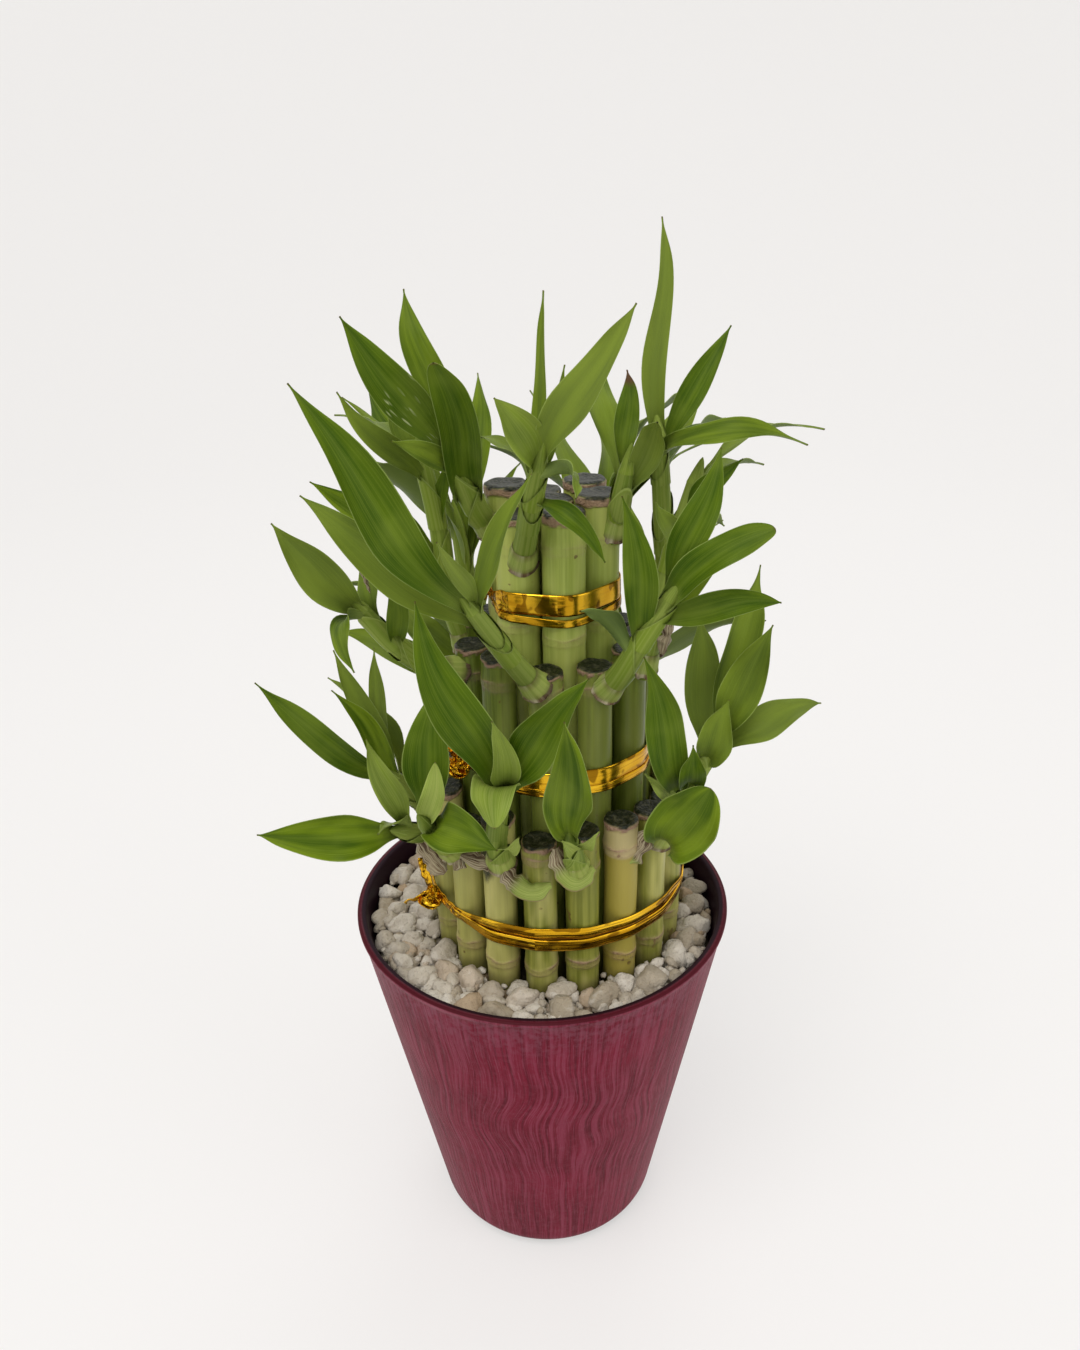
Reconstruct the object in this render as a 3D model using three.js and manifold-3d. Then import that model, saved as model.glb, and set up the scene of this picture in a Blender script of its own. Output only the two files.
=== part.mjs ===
// Tiered lucky bamboo in a tapered pot. Millimetres, +Z up, the front toward -Y.
// The origin is the centre of the pot's underside. Azimuths are degrees from the front toward +X.
import * as THREE from "three";
import { mergeVertices } from "three/addons/utils/BufferGeometryUtils.js";
import Module from "manifold-3d";

const wasm = await Module();
wasm.setup();

// Clearance between neighbouring pieces
const GAP = 0.3;

// Pot: a straight taper, a rounded foot and a small lip
const POT = {
  rimRadius: 65, footRadius: 40.3, height: 133, wall: 2.8, floor: 3,
  footRound: 8, footSteps: [0.4, 0.7, 1], innerChamfer: 3,
  lip: 0.4, lipDrop: 2.5, lipBelly: 1.5, lipEase: 0.2, sides: 36,
};

// Canes of each tier: the canes stand in a ring, or round a middle one, about the bundle's axis
const BUNDLE_X = 5.5;
const TIERS = [
  {
    name: "lower", count: 18, ring: 38.2, first: -9, radius: 5.4,
    foot: 65, top: 184, spread: 4, nodes: [136, 175],
  },
  {
    name: "middle", count: 11, ring: 26.8, first: -6.5, radius: 5.4,
    foot: 75, top: 235, spread: 3, nodes: [226],
  },
  {
    name: "upper", count: 6, ring: 14.3, first: 13, radius: 6.7,
    foot: 80, top: 279.5, spread: 3, nodes: [240, 265],
  },
];
const MIDDLE_CANE = { tier: 2, top: 278 };
const CANE = { sides: 8, swell: 0.3, swellHalf: 1.4, nodeSpread: 2.5, wax: 0.9, waxInset: 0.7, seed: 3 };

// Gilt ties: a band round each tier, its knot and two tails
const TIE = {
  thickness: 0.6, slack: 0.1, cornerStep: 20, knot: 3.2, knotScale: [0.9, 0.9, 1.15],
  tailWidth: 3.4, tailThickness: 0.8, tailStations: [0, 0.35, 0.7, 1], tailTaper: 0.45,
  tailBow: [-1, -1, 1.2], tailFace: [-60, 10],
};
const TIES = [
  { name: "lower", tier: 0, z: 147.5, width: 8, knotAzimuth: -66, tails: [[-9, -3, -1], [-3, 4, 12]] },
  { name: "middle", tier: 1, z: 197, width: 8.5, knotAzimuth: -62, tails: [[-7, -4, 4], [-3, -5, 10]] },
  { name: "upper", tier: 2, z: 249.5, width: 10, knotAzimuth: -95, tails: [[-7, -4, 7], [-5, -6, 3]] },
];

// Pebble bed: a fill with one stepped well for the bundle and a layer of pebbles on top
const BED = { top: 126, wallGap: 0.42, wellGap: 0.35, wellTop: 140, sides: 30, seed: 11 };
const PEBBLE = {
  low: 4.1, high: 5.6, least: 2.6, flat: 0.75, narrow: 0.25,
  tilt: 0.35, sink: 0.2, jitter: 0.15,
};
const PEBBLE_ROWS = [
  { x: 0, radius: 54.9, count: 33, widest: 70 },
  { x: BUNDLE_X, radius: 48.7, count: 31, widest: 50 },
];

// Leaf blades and shoot stems
const BLADE = {
  thickness: 1.3, base: 0.3, fullAt: 0.45, tip: 0.25, taper: 1.25,
  stations: [0, 0.2, 0.46, 0.76, 1], foldBase: 30, foldTip: 10, faceRise: 25,
};
const STEM = { sides: 6, foot: 4, tip: 2.6, steps: 4, leafReach: 0.98 };

// Shoots that the front and sides show. Each stem starts on its cane and lists its points; a leaf is
// [place along the stem, tip, width, arch, azimuth that its upper side faces]
const SHOOTS = [
  {
    name: "shoot_upper_left",
    stem: [[-12, 2, 267], [-17, -4, 276], [-20, -10, 286], [-23, -13, 296]],
    leaves: [
      [0.5, [-26, -30, 323], 11, -5, 0, 0.5],
      [0.95, [-47, -33, 335], 13, 5, 5],
      [1.0, [-34, -2, 338], 10, 4, 0],
      [0.8, [-38, -22, 301], 7, 3, -20],
    ],
  },
  {
    name: "shoot_upper_front",
    stem: [[-4, -12, 261], [-2, -21, 273], [0, -29, 286], [2, -33, 296]],
    leaves: [
      [0.8, [4, -22, 339], 5, 2, -40],
      [0.9, [9, -32, 322], 6.5, 2, 50],
      [1.0, [26, -44, 338], 11.5, 5, -15],
      [0.95, [-9, -42, 316], 10.5, 3, 10, 0.8],
      [0.85, [-16, -22, 302], 5.5, 4, 60],
      [0.95, [11, -50, 292], 8, 5, 180],
      [0.7, [19, -42, 272], 6.5, 4, 20],
    ],
  },
  {
    name: "shoot_upper_right",
    stem: [[23, -6, 267], [25, -9, 277], [27, -10, 288]],
    leaves: [
      [0.7, [34, -24, 305], 9, -5, 0, 0.5],
      [1.0, [28, 4, 314], 8, 2, 10],
      [0.9, [50, 22, 303], 10, 6, -80],
      [0.8, [22, 36, 312], 10, 6, 0],
    ],
  },
  {
    name: "shoot_middle_left_back",
    stem: [[-22, 6, 226], [-27, 3, 245], [-29, 1, 270], [-32, 0, 290]],
    leaves: [
      [0.9, [-53, -14, 313], 8, 4, 10],
      [0.6, [-25, -2, 291], 6, 1, -30],
      [0.5, [-64, -10, 287], 12, 4, 5],
      [1.0, [-40, 14, 312], 9, 3, -10],
      [0.9, [-60, 18, 300], 10, 6, 60],
    ],
  },
  {
    name: "shoot_middle_front",
    stem: [[1, -29, 228], [-5, -35, 238], [-11, -40, 249], [-17, -44, 260]],
    leaves: [
      [1.0, [-57, -55, 323], 14.5, 6, 5],
      [0.95, [0, -51, 299], 8, 4, -25],
      [1.0, [-24, -58, 284], 5.5, 2, 20],
      [0.85, [-61, -38, 291], 13, 3, 5],
    ],
  },
  {
    name: "shoot_middle_left",
    stem: [[-22, -10, 226], [-33, -16, 231], [-43, -22, 242], [-50, -25, 253]],
    leaves: [
      [1.0, [-70, -36, 283], 12.5, 4, 10],
      [1.0, [-50, -46, 243], 8, 7, 180],
      [0.6, [-41, -30, 266], 7, 3, 10],
      [0.8, [-48, -10, 268], 7, 3, -20],
    ],
  },
  {
    name: "shoot_middle_right",
    stem: [[20, -27, 226], [25, -34, 236], [31, -38, 249], [37, -41, 261]],
    leaves: [
      [0.95, [62, -50, 283], 10, 5, -40, 0.5],
      [0.85, [66, -46, 261], 9, 4, -40, 0.8],
      [0.6, [23, -45, 291], 10, 3, 0],
      [0.5, [12, -49, 261], 7, 4, 180],
      [1.0, [50, -33, 300], 10.5, 4, -10],
    ],
  },
  {
    name: "shoot_middle_far_right",
    stem: [[32, -15, 226], [36, -18, 246], [41, -17, 268], [46, -16, 286]],
    leaves: [
      [1.0, [84, -6, 298], 8, 7, -80],
      [0.95, [69, 2, 286], 8, 4, -60],
      [0.8, [58, -22, 294], 8, 4, -40],
      [0.7, [34, -24, 283], 7, 3, 0],
    ],
  },
  {
    name: "shoot_middle_tall",
    stem: [[36, 0, 226], [40, -3, 250], [38, -7, 276], [36, -8, 298]],
    leaves: [
      [1.0, [36, -4, 355], 7.5, 3, 10],
      [0.9, [57, 2, 326], 8, 4, -20],
      [0.95, [75, -24, 298], 8, 12, -75],
      [0.7, [60, 20, 296], 10, 7, -60],
      [0.5, [60, 12, 264], 10, 6, -50],
    ],
  },
  {
    name: "shoot_lower_far_left",
    stem: [[-37, -2, 172], [-42, -8, 180], [-47, -13, 190]],
    leaves: [
      [1.0, [-83, -28, 232], 10.5, 5, -10],
      [0.95, [-63, -8, 233], 8, 3, 10],
      [0.8, [-62, -22, 226], 8, 3, 0],
      [1.0, [-52, 2, 229], 7, 3, -15],
      [0.7, [-70, 12, 214], 10, 6, 60],
    ],
  },
  {
    name: "shoot_lower_left",
    stem: [[-34, -16, 172], [-39, -26, 177], [-43, -34, 183]],
    leaves: [
      [1.0, [-84, -45, 190], 14.5, 8, 30],
      [0.9, [-51, -33, 215], 9, 3, 10],
      [0.7, [-48, -46, 190], 7, 3, 180],
    ],
  },
  {
    name: "shoot_lower_front_left",
    stem: [[-27, -29, 172], [-31, -38, 182], [-34, -45, 193]],
    leaves: [
      [1.0, [-27, -42, 238], 14, 3, -10],
      [0.95, [-30, -58, 215], 9, 5, 180, 0.8],
      [0.85, [-12, -63, 195], 15, 5, 30],
    ],
  },
  {
    name: "shoot_lower_front",
    stem: [[-12, -37, 172], [-13, -44, 184], [-12, -49, 197], [-10, -52, 207]],
    leaves: [
      [0.9, [-30, -62, 270], 15, 5, 0],
      [1.0, [-12, -63, 236], 9, 3, 10],
      [1.0, [14, -55, 244], 14.5, 4, 0],
      [0.85, [-12, -73, 209], 11, 8, 180],
      [0.3, [-6, -58, 196], 5.5, 2, 20],
    ],
  },
  {
    name: "shoot_lower_middle",
    stem: [[11, -40, 172], [10, -46, 180], [9, -49, 188]],
    leaves: [
      [1.0, [7, -68, 238], 14.5, 4, 0],
      [0.6, [6, -60, 196], 5, 2, 10],
      [0.8, [17, -56, 196], 5, 2, 30],
    ],
  },
  {
    name: "shoot_lower_right",
    stem: [[37, -25, 171], [42, -30, 184], [47, -31, 197], [54, -28, 210]],
    leaves: [
      [0.1, [51, -34, 199], 20, -2, -5, 0.45],
      [0.35, [31, -41, 206], 5, 2, 20],
      [0.5, [30, -42, 244], 13.5, 4, 10],
      [0.6, [45, -41, 215], 9, 3, 0],
      [0.8, [56, -34, 226], 11, 3, -10],
      [0.9, [50, -10, 243], 12, 3, 0],
      [1.0, [69, -26, 246], 13, 4, -15],
      [0.95, [87, -20, 217], 11, 6, -50],
      [1.0, [68, -8, 258], 12, 3, 10],
    ],
  },
];

// Shoots of the far side, laid out by a seeded rule: tier and cane that carry them, leaf count
const FAR_SHOOTS = [
  { name: "shoot_middle_back", tier: 1, cane: 5, leaves: 7, seed: 21 },
  { name: "shoot_middle_back_far_left", tier: 1, cane: 7, leaves: 7, seed: 35 },
  { name: "shoot_lower_back_right", tier: 0, cane: 8, leaves: 7, seed: 55 },
  { name: "shoot_lower_back_left", tier: 0, cane: 11, leaves: 7, seed: 89 },
];
const FAR = {
  reach: [13, 20], rise: [26, 38], bendOut: 0.65, bendUp: 0.4, sink: 0.5, belowNode: 3,
  leafReach: [32, 52], leafRise: [4, 50], width: [10, 13.5], arch: [4, 9],
  fan: 27, roll: 60, lowestLeaf: 0.6, leafStep: 0.618,
};

// Small repeatable random numbers between 0 and 1
function randomSource(seed) {
  let state = seed * 7919 + 1;
  return () => {
    state = (state * 16807) % 2147483647;
    return state / 2147483647;
  };
}

const radians = (degrees) => degrees * Math.PI / 180;
const mix = (low, high, t) => low + (high - low) * t;
const outward = (azimuth) => new THREE.Vector3(Math.sin(radians(azimuth)), -Math.cos(radians(azimuth)), 0);
const vector = (triple) => new THREE.Vector3(...triple);
const around = (random, spread) => (random() - 0.5) * 2 * spread;

// A geometry's shared vertices are merged, and it becomes a solid that can be joined and cut
function solidOf(geometry) {
  const bare = geometry.index ? geometry.toNonIndexed() : geometry.clone();
  bare.deleteAttribute("normal");
  bare.deleteAttribute("uv");
  const merged = mergeVertices(bare, 1e-4);
  const triVerts = [];
  const index = merged.index.array;
  for (let i = 0; i < index.length; i += 3) {
    const [a, b, c] = [index[i], index[i + 1], index[i + 2]];
    if (a !== b && b !== c && c !== a) {
      triVerts.push(a, b, c);
    }
  }
  return new wasm.Manifold(new wasm.Mesh({
    numProp: 3,
    vertProperties: new Float32Array(merged.attributes.position.array),
    triVerts: new Uint32Array(triVerts),
  }));
}

function geometryOf(solid) {
  const mesh = solid.getMesh();
  const geometry = new THREE.BufferGeometry();
  geometry.setAttribute("position", new THREE.BufferAttribute(mesh.vertProperties, 3));
  geometry.setIndex(new THREE.BufferAttribute(mesh.triVerts, 1));
  geometry.computeVertexNormals();
  return geometry;
}

// The largest body of a cut solid: loose scraps are dropped
function largestBody(solid) {
  const bodies = solid.decompose();
  bodies.sort((a, b) => b.volume() - a.volume());
  return bodies[0];
}

// A closed skin over rings of equally many points, each ring anticlockwise seen from the far end
function skin(rings) {
  const count = rings[0].length;
  const positions = rings.flat().flatMap((p) => [p.x, p.y, p.z]);
  const index = [];
  for (let r = 0; r + 1 < rings.length; r++) {
    for (let i = 0; i < count; i++) {
      const j = (i + 1) % count;
      const [a, b, c, d] = [r * count + i, r * count + j, (r + 1) * count + j, (r + 1) * count + i];
      index.push(a, b, c, a, c, d);
    }
  }
  const last = (rings.length - 1) * count;
  for (let i = 1; i + 1 < count; i++) {
    index.push(0, i + 1, i);
    index.push(last, last + i, last + i + 1);
  }
  const geometry = new THREE.BufferGeometry();
  geometry.setAttribute("position", new THREE.Float32BufferAttribute(positions, 3));
  geometry.setIndex(index);
  return geometry;
}

// A solid turned about the vertical from (radius, height) pairs
function turned(profile, sides, x = 0, y = 0, turn = 0) {
  const points = profile.map(([radius, height]) => new THREE.Vector2(radius, height));
  const geometry = new THREE.LatheGeometry(points, sides, turn);
  geometry.rotateX(Math.PI / 2);
  geometry.translate(x, y, 0);
  return geometry;
}

// Pot
function potRadius(z) {
  return mix(POT.footRadius, POT.rimRadius, z / POT.height);
}

function potProfile() {
  const { footRound, height, lip, lipDrop, wall, floor } = POT;
  const turn = Math.PI / 2 - Math.atan((POT.rimRadius - POT.footRadius) / height);
  const centre = POT.footRadius - footRound * Math.tan(turn / 2);
  const profile = [[0, 0], [centre, 0]];
  for (const share of POT.footSteps) {
    const angle = turn * share;
    profile.push([centre + footRound * Math.sin(angle), footRound * (1 - Math.cos(angle))]);
  }
  profile.push([potRadius(height - lipDrop), height - lipDrop]);
  profile.push([potRadius(height) + lip, height - POT.lipBelly]);
  profile.push([potRadius(height) + lip - POT.lipEase, height]);
  profile.push([potRadius(height) - wall, height]);
  profile.push([potRadius(footRound) - wall, footRound]);
  profile.push([potRadius(floor) - wall - POT.innerChamfer, floor]);
  profile.push([0, floor]);
  return profile;
}

function makePot() {
  return geometryOf(solidOf(turned(potProfile(), POT.sides)));
}

// Canes
const caneAzimuth = (tier, k) => tier.first + k * 360 / tier.count;

function caneSpot(tier, k, away = 0) {
  const spot = outward(caneAzimuth(tier, k)).multiplyScalar(tier.ring + away);
  spot.x += BUNDLE_X;
  return spot;
}

function canePlaces() {
  const places = [];
  TIERS.forEach((tier, t) => {
    const random = randomSource(t + CANE.seed);
    for (let k = 0; k < tier.count; k++) {
      const top = tier.top + around(random, tier.spread);
      const nodes = tier.nodes.map((node) => node + around(random, CANE.nodeSpread));
      const name = `cane_${tier.name}_${k + 1}`;
      places.push({ name, tier, spot: caneSpot(tier, k), azimuth: caneAzimuth(tier, k), top, nodes });
    }
  });
  const tier = TIERS[MIDDLE_CANE.tier];
  const { nodes } = tier;
  const spot = new THREE.Vector3(BUNDLE_X, 0, 0);
  places.push({ name: `cane_${tier.name}_middle`, tier, spot, azimuth: 0, top: MIDDLE_CANE.top, nodes });
  return places;
}

function caneGeometry(place, grow = 0) {
  const { tier, top, nodes } = place;
  const radius = tier.radius + grow;
  const profile = [[0, tier.foot - grow], [radius, tier.foot - grow]];
  for (const node of nodes) {
    profile.push([radius, node - CANE.swellHalf]);
    profile.push([radius + CANE.swell, node]);
    profile.push([radius, node + CANE.swellHalf]);
  }
  profile.push([radius, top - CANE.wax + grow]);
  profile.push([radius - CANE.waxInset, top + grow]);
  profile.push([0, top + grow]);
  return turned(profile, CANE.sides, place.spot.x, place.spot.y, radians(place.azimuth));
}

// Ties: the band follows the taut outline round its tier's canes
function tieOutline(tier, away) {
  const pitch = 360 / tier.count;
  const steps = Math.ceil(pitch / TIE.cornerStep);
  const points = [];
  for (let k = 0; k < tier.count; k++) {
    for (let s = 0; s <= steps; s++) {
      const turn = caneAzimuth(tier, k) + (s / steps - 0.5) * pitch;
      const spot = caneSpot(tier, k).addScaledVector(outward(turn), tier.radius + away);
      points.push(new THREE.Vector2(spot.x, spot.y));
    }
  }
  return points;
}

function bandGeometry(tie, grow = 0) {
  const tier = TIERS[tie.tier];
  const inner = GAP + TIE.slack;
  const outline = new THREE.Shape(tieOutline(tier, inner + TIE.thickness + grow));
  outline.holes.push(new THREE.Path(tieOutline(tier, inner - grow).reverse()));
  const geometry = new THREE.ExtrudeGeometry(outline, { depth: tie.width + 2 * grow, bevelEnabled: false });
  geometry.translate(0, 0, tie.z - tie.width / 2 - grow);
  return geometry;
}

function tailGeometry(start, offset) {
  const end = start.clone().add(vector(offset));
  const middle = start.clone().lerp(end, 0.5).add(vector(TIE.tailBow));
  const curve = new THREE.QuadraticBezierCurve3(start, middle, end);
  const rings = TIE.tailStations.map((s) => {
    const centre = curve.getPoint(s);
    const along = curve.getTangent(s);
    const facing = outward(mix(...TIE.tailFace, s));
    const across = new THREE.Vector3().crossVectors(along, facing).normalize();
    const thick = new THREE.Vector3().crossVectors(along, across).normalize();
    const half = TIE.tailWidth / 2 * (1 - TIE.tailTaper * s);
    return [[-1, -1], [1, -1], [1, 1], [-1, 1]].map(([u, v]) => centre.clone()
      .addScaledVector(across, u * half).addScaledVector(thick, v * TIE.tailThickness / 2));
  });
  return skin(rings);
}

function makeTie(tie, canes) {
  const { ring, radius } = TIERS[tie.tier];
  const reach = ring + radius + GAP + TIE.thickness + TIE.knot / 2;
  const knotSpot = outward(tie.knotAzimuth).multiplyScalar(reach);
  knotSpot.x += BUNDLE_X;
  knotSpot.z = tie.z;
  const knot = new THREE.IcosahedronGeometry(TIE.knot, 0);
  knot.scale(...TIE.knotScale);
  knot.translate(...knotSpot.toArray());
  let bow = solidOf(knot);
  for (const tail of tie.tails) {
    bow = bow.add(solidOf(tailGeometry(knotSpot, tail)));
  }
  return largestBody(bow.subtract(canes).add(solidOf(bandGeometry(tie))));
}

// Pebble bed
function pebbleGeometry(spot, size, random) {
  const geometry = new THREE.IcosahedronGeometry(size, 0);
  geometry.scale(1, 1 - PEBBLE.narrow * random(), PEBBLE.flat);
  geometry.rotateX(around(random, PEBBLE.tilt));
  geometry.rotateZ(random() * Math.PI * 2);
  geometry.translate(spot.x, spot.y, spot.z);
  return geometry;
}

function makeBed() {
  const wallRadius = (z) => potRadius(z) - POT.wall - BED.wallGap;
  const lowest = POT.floor + GAP;
  const fill = [[0, lowest], [wallRadius(lowest) - POT.innerChamfer, lowest]];
  fill.push([wallRadius(POT.footRound), POT.footRound], [wallRadius(BED.top), BED.top], [0, BED.top]);
  let bed = solidOf(turned(fill, POT.sides));
  for (const { ring, radius, foot } of TIERS) {
    const edge = ring + radius + BED.wellGap;
    const well = [[0, foot - GAP], [edge, foot - GAP], [edge, BED.wellTop], [0, BED.wellTop]];
    bed = bed.subtract(solidOf(turned(well, BED.sides, BUNDLE_X)));
  }
  const random = randomSource(BED.seed);
  const bundleEdge = TIERS[0].ring + TIERS[0].radius + GAP;
  for (const { x, radius, count, widest } of PEBBLE_ROWS) {
    for (let k = 0; k < count; k++) {
      const azimuth = (k + around(random, PEBBLE.jitter)) * 360 / count;
      const spot = outward(azimuth).multiplyScalar(radius + around(random, 0.5));
      spot.x += x;
      const toAxis = Math.hypot(spot.x, spot.y);
      const toBundle = Math.hypot(spot.x - BUNDLE_X, spot.y);
      const room = Math.min(toBundle - bundleEdge, wallRadius(BED.top) - toAxis);
      const size = Math.min(mix(PEBBLE.low, PEBBLE.high, random()), room);
      spot.z = BED.top + size * PEBBLE.sink + random();
      const pebble = pebbleGeometry(spot, size, random);
      if (size > PEBBLE.least && toAxis < widest) {
        bed = bed.add(solidOf(pebble));
      }
    }
  }
  return bed;
}

// Leaves: a blade along an arched midrib, channelled near its base and pointed at its tip
function bladeHalfWidth(s, width, blunt) {
  if (s < BLADE.fullAt) {
    const t = s / BLADE.fullAt;
    return width / 2 * mix(BLADE.base, 1, t * t * (3 - 2 * t));
  }
  const u = (s - BLADE.fullAt) / (1 - BLADE.fullAt);
  return width / 2 * Math.pow(1 - u, BLADE.taper * blunt) * (1 + BLADE.taper * blunt * u);
}

function leafGeometry(base, tip, width, arch, face, blunt = 1) {
  const chord = tip.clone().sub(base).normalize();
  const toward = outward(face).multiplyScalar(Math.cos(radians(BLADE.faceRise)));
  toward.z = Math.sin(radians(BLADE.faceRise));
  const upper = toward.addScaledVector(chord, -toward.dot(chord)).normalize();
  const across = new THREE.Vector3().crossVectors(upper, chord);
  const control = base.clone().lerp(tip, 0.5).addScaledVector(upper, 2 * arch);
  const midrib = new THREE.QuadraticBezierCurve3(base, control, tip);
  const half = BLADE.thickness / 2;
  const rings = BLADE.stations.map((s) => {
    const centre = midrib.getPoint(s);
    const normal = new THREE.Vector3().crossVectors(midrib.getTangent(s), across).normalize();
    const spread = Math.max(bladeHalfWidth(s, width, blunt), BLADE.tip);
    const fold = radians(mix(BLADE.foldTip, BLADE.foldBase, Math.pow(1 - s, 2)));
    const out = spread * Math.cos(fold);
    const up = spread * Math.sin(fold);
    return [[0, -1], [1, 0], [0, 1], [-1, 0]].map(([u, v]) => centre.clone()
      .addScaledVector(across, u * out).addScaledVector(normal, Math.abs(u) * up + v * half));
  });
  return skin(rings);
}

// Shoots: a tapering stem with its leaves, cut to sit on its cane and clear of the neighbours
function stemGeometry(points) {
  const curve = new THREE.CatmullRomCurve3(points);
  const rings = [];
  const side = new THREE.Vector3(1, 0, 0);
  for (let r = 0; r <= STEM.steps; r++) {
    const t = r / STEM.steps;
    const along = curve.getTangent(t);
    side.addScaledVector(along, -side.dot(along)).normalize();
    const other = new THREE.Vector3().crossVectors(along, side);
    const radius = mix(STEM.foot, STEM.tip, t);
    const ring = [];
    for (let i = 0; i < STEM.sides; i++) {
      const angle = i * 2 * Math.PI / STEM.sides;
      ring.push(curve.getPoint(t).addScaledVector(side, radius * Math.cos(angle))
        .addScaledVector(other, radius * Math.sin(angle)));
    }
    rings.push(ring);
  }
  return skin(rings);
}

function farShoot({ name, tier: t, cane, leaves, seed }) {
  const tier = TIERS[t];
  const random = randomSource(seed);
  const azimuth = caneAzimuth(tier, cane);
  const out = outward(azimuth);
  const start = caneSpot(tier, cane, tier.radius - FAR.sink);
  start.z = tier.nodes.at(-1) - FAR.belowNode;
  const reach = mix(...FAR.reach, random());
  const rise = mix(...FAR.rise, random());
  const end = start.clone().addScaledVector(out, reach);
  end.z += rise;
  const bend = start.clone().addScaledVector(out, reach * FAR.bendOut);
  bend.z += rise * FAR.bendUp;
  const list = [];
  for (let k = 0; k < leaves; k++) {
    const turn = azimuth + (k - (leaves - 1) / 2) * FAR.fan;
    const tip = end.clone().addScaledVector(outward(turn), mix(...FAR.leafReach, random()));
    tip.z += mix(...FAR.leafRise, random());
    const width = mix(...FAR.width, random());
    const arch = mix(...FAR.arch, random());
    const face = turn + 180 + around(random, FAR.roll);
    list.push([mix(FAR.lowestLeaf, 1, (k * FAR.leafStep) % 1), tip.toArray(), width, arch, face]);
  }
  return { name, stem: [start, bend, end].map((p) => p.toArray()), leaves: list };
}

function makeShoot(shoot, obstacles) {
  const points = shoot.stem.map(vector);
  const curve = new THREE.CatmullRomCurve3(points);
  let solid = solidOf(stemGeometry(points));
  for (const [place, tip, ...blade] of shoot.leaves) {
    const base = curve.getPoint(place * STEM.leafReach);
    solid = solid.add(solidOf(leafGeometry(base, vector(tip), ...blade)));
  }
  return largestBody(solid.subtract(obstacles));
}

// Colours and finishes
function finish(color, roughness, metalness = 0) {
  return new THREE.MeshStandardMaterial({ color, roughness, metalness });
}

const FINISH = {
  pot: finish(0x8a1f45, 0.42),
  pebbles: finish(0xd9d0c0, 0.8),
  lower: finish(0x9fae5c, 0.5),
  middle: finish(0x8ea555, 0.5),
  upper: finish(0x7c934c, 0.5),
  tie: finish(0xd9a011, 0.25, 0.9),
  leaf: finish(0x567f22, 0.45),
};

// Assembly
const group = new THREE.Group();
function place(name, geometry, material) {
  const mesh = new THREE.Mesh(geometry, material);
  mesh.name = name;
  group.add(mesh);
}

const canes = canePlaces();
const union = (solids) => solids.reduce((whole, part) => whole.add(part));
const caneRoom = union(canes.map((cane) => solidOf(caneGeometry(cane, GAP))));
const tieRoom = union(TIES.map((tie) => solidOf(bandGeometry(tie, GAP))));

place("pot", makePot(), FINISH.pot);
place("pebble_bed", geometryOf(makeBed()), FINISH.pebbles);
for (const cane of canes) {
  place(cane.name, geometryOf(solidOf(caneGeometry(cane))), FINISH[cane.tier.name]);
}
for (const tie of TIES) {
  place(`tie_${tie.name}`, geometryOf(makeTie(tie, caneRoom)), FINISH.tie);
}
const obstacles = caneRoom.add(tieRoom);
for (const shoot of [...SHOOTS, ...FAR_SHOOTS.map(farShoot)]) {
  place(shoot.name, geometryOf(makeShoot(shoot, obstacles)), FINISH.leaf);
}

export default group;
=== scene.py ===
# Tiered lucky bamboo in a tapered pot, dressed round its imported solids.
# Shapes are laid out in millimetres in the row frame, +Z up and the front toward -Y, and become
# metres when a mesh is made. Azimuths are degrees from the front toward +X.
import math
import bmesh
import bpy
import numpy as np
from mathutils import Matrix, Vector, noise


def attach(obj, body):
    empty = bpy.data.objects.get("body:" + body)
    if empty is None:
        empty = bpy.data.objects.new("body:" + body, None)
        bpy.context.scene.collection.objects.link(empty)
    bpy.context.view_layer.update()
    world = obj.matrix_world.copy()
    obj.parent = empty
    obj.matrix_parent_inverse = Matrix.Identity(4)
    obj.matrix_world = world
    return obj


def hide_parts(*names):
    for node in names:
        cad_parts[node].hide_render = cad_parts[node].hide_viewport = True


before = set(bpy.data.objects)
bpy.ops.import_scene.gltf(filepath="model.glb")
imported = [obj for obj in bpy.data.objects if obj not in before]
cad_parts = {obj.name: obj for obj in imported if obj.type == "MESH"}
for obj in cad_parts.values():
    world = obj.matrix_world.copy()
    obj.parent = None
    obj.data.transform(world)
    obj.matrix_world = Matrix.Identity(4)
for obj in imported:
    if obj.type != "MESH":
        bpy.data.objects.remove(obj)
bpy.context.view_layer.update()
MM = 0.001

# Pot, as in the part's source
POT = dict(rim_radius=65, foot_radius=40.3, height=133, foot_round=8, wall=2.8, floor=3, lip=0.3,
           lip_drop=1.9, lip_width=1.0, columns=256)
POT_SLOPE = (POT["rim_radius"] - POT["foot_radius"]) / POT["height"]
# The lip from below: (share of how far it stands out, depth under the top)
LIP = [(0.8, 1.6), (1.0, 1.1), (0.9, 0.6), (0.0, 0.2), (-2.0, 0.0)]
# The rounding inside it: (how far outside the inner wall, depth under the top)
INNER_LIP = [(0.6, 0.05), (0.15, 0.35)]
# The pot's grain: (how fine round the pot, how fine up it, detail, roughness), and how far it sways
GRAIN = dict(streaks=(50, 30, 2, 0.5), fibres=(135, 110, 3, 0.6), sway=0.3)

# Canes, as in the part's source
BUNDLE_X = 5.5
TIERS = [
    dict(name="lower", count=18, ring=38.2, first=-9, radius=5.4, foot=65, top=184, spread=4,
         nodes=[136, 175]),
    dict(name="middle", count=11, ring=26.8, first=-6.5, radius=5.4, foot=75, top=235, spread=3,
         nodes=[226]),
    dict(name="upper", count=6, ring=14.3, first=13, radius=6.7, foot=80, top=279.5, spread=3,
         nodes=[240, 265]),
]
MIDDLE_CANE = dict(tier=2, top=278)
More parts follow.
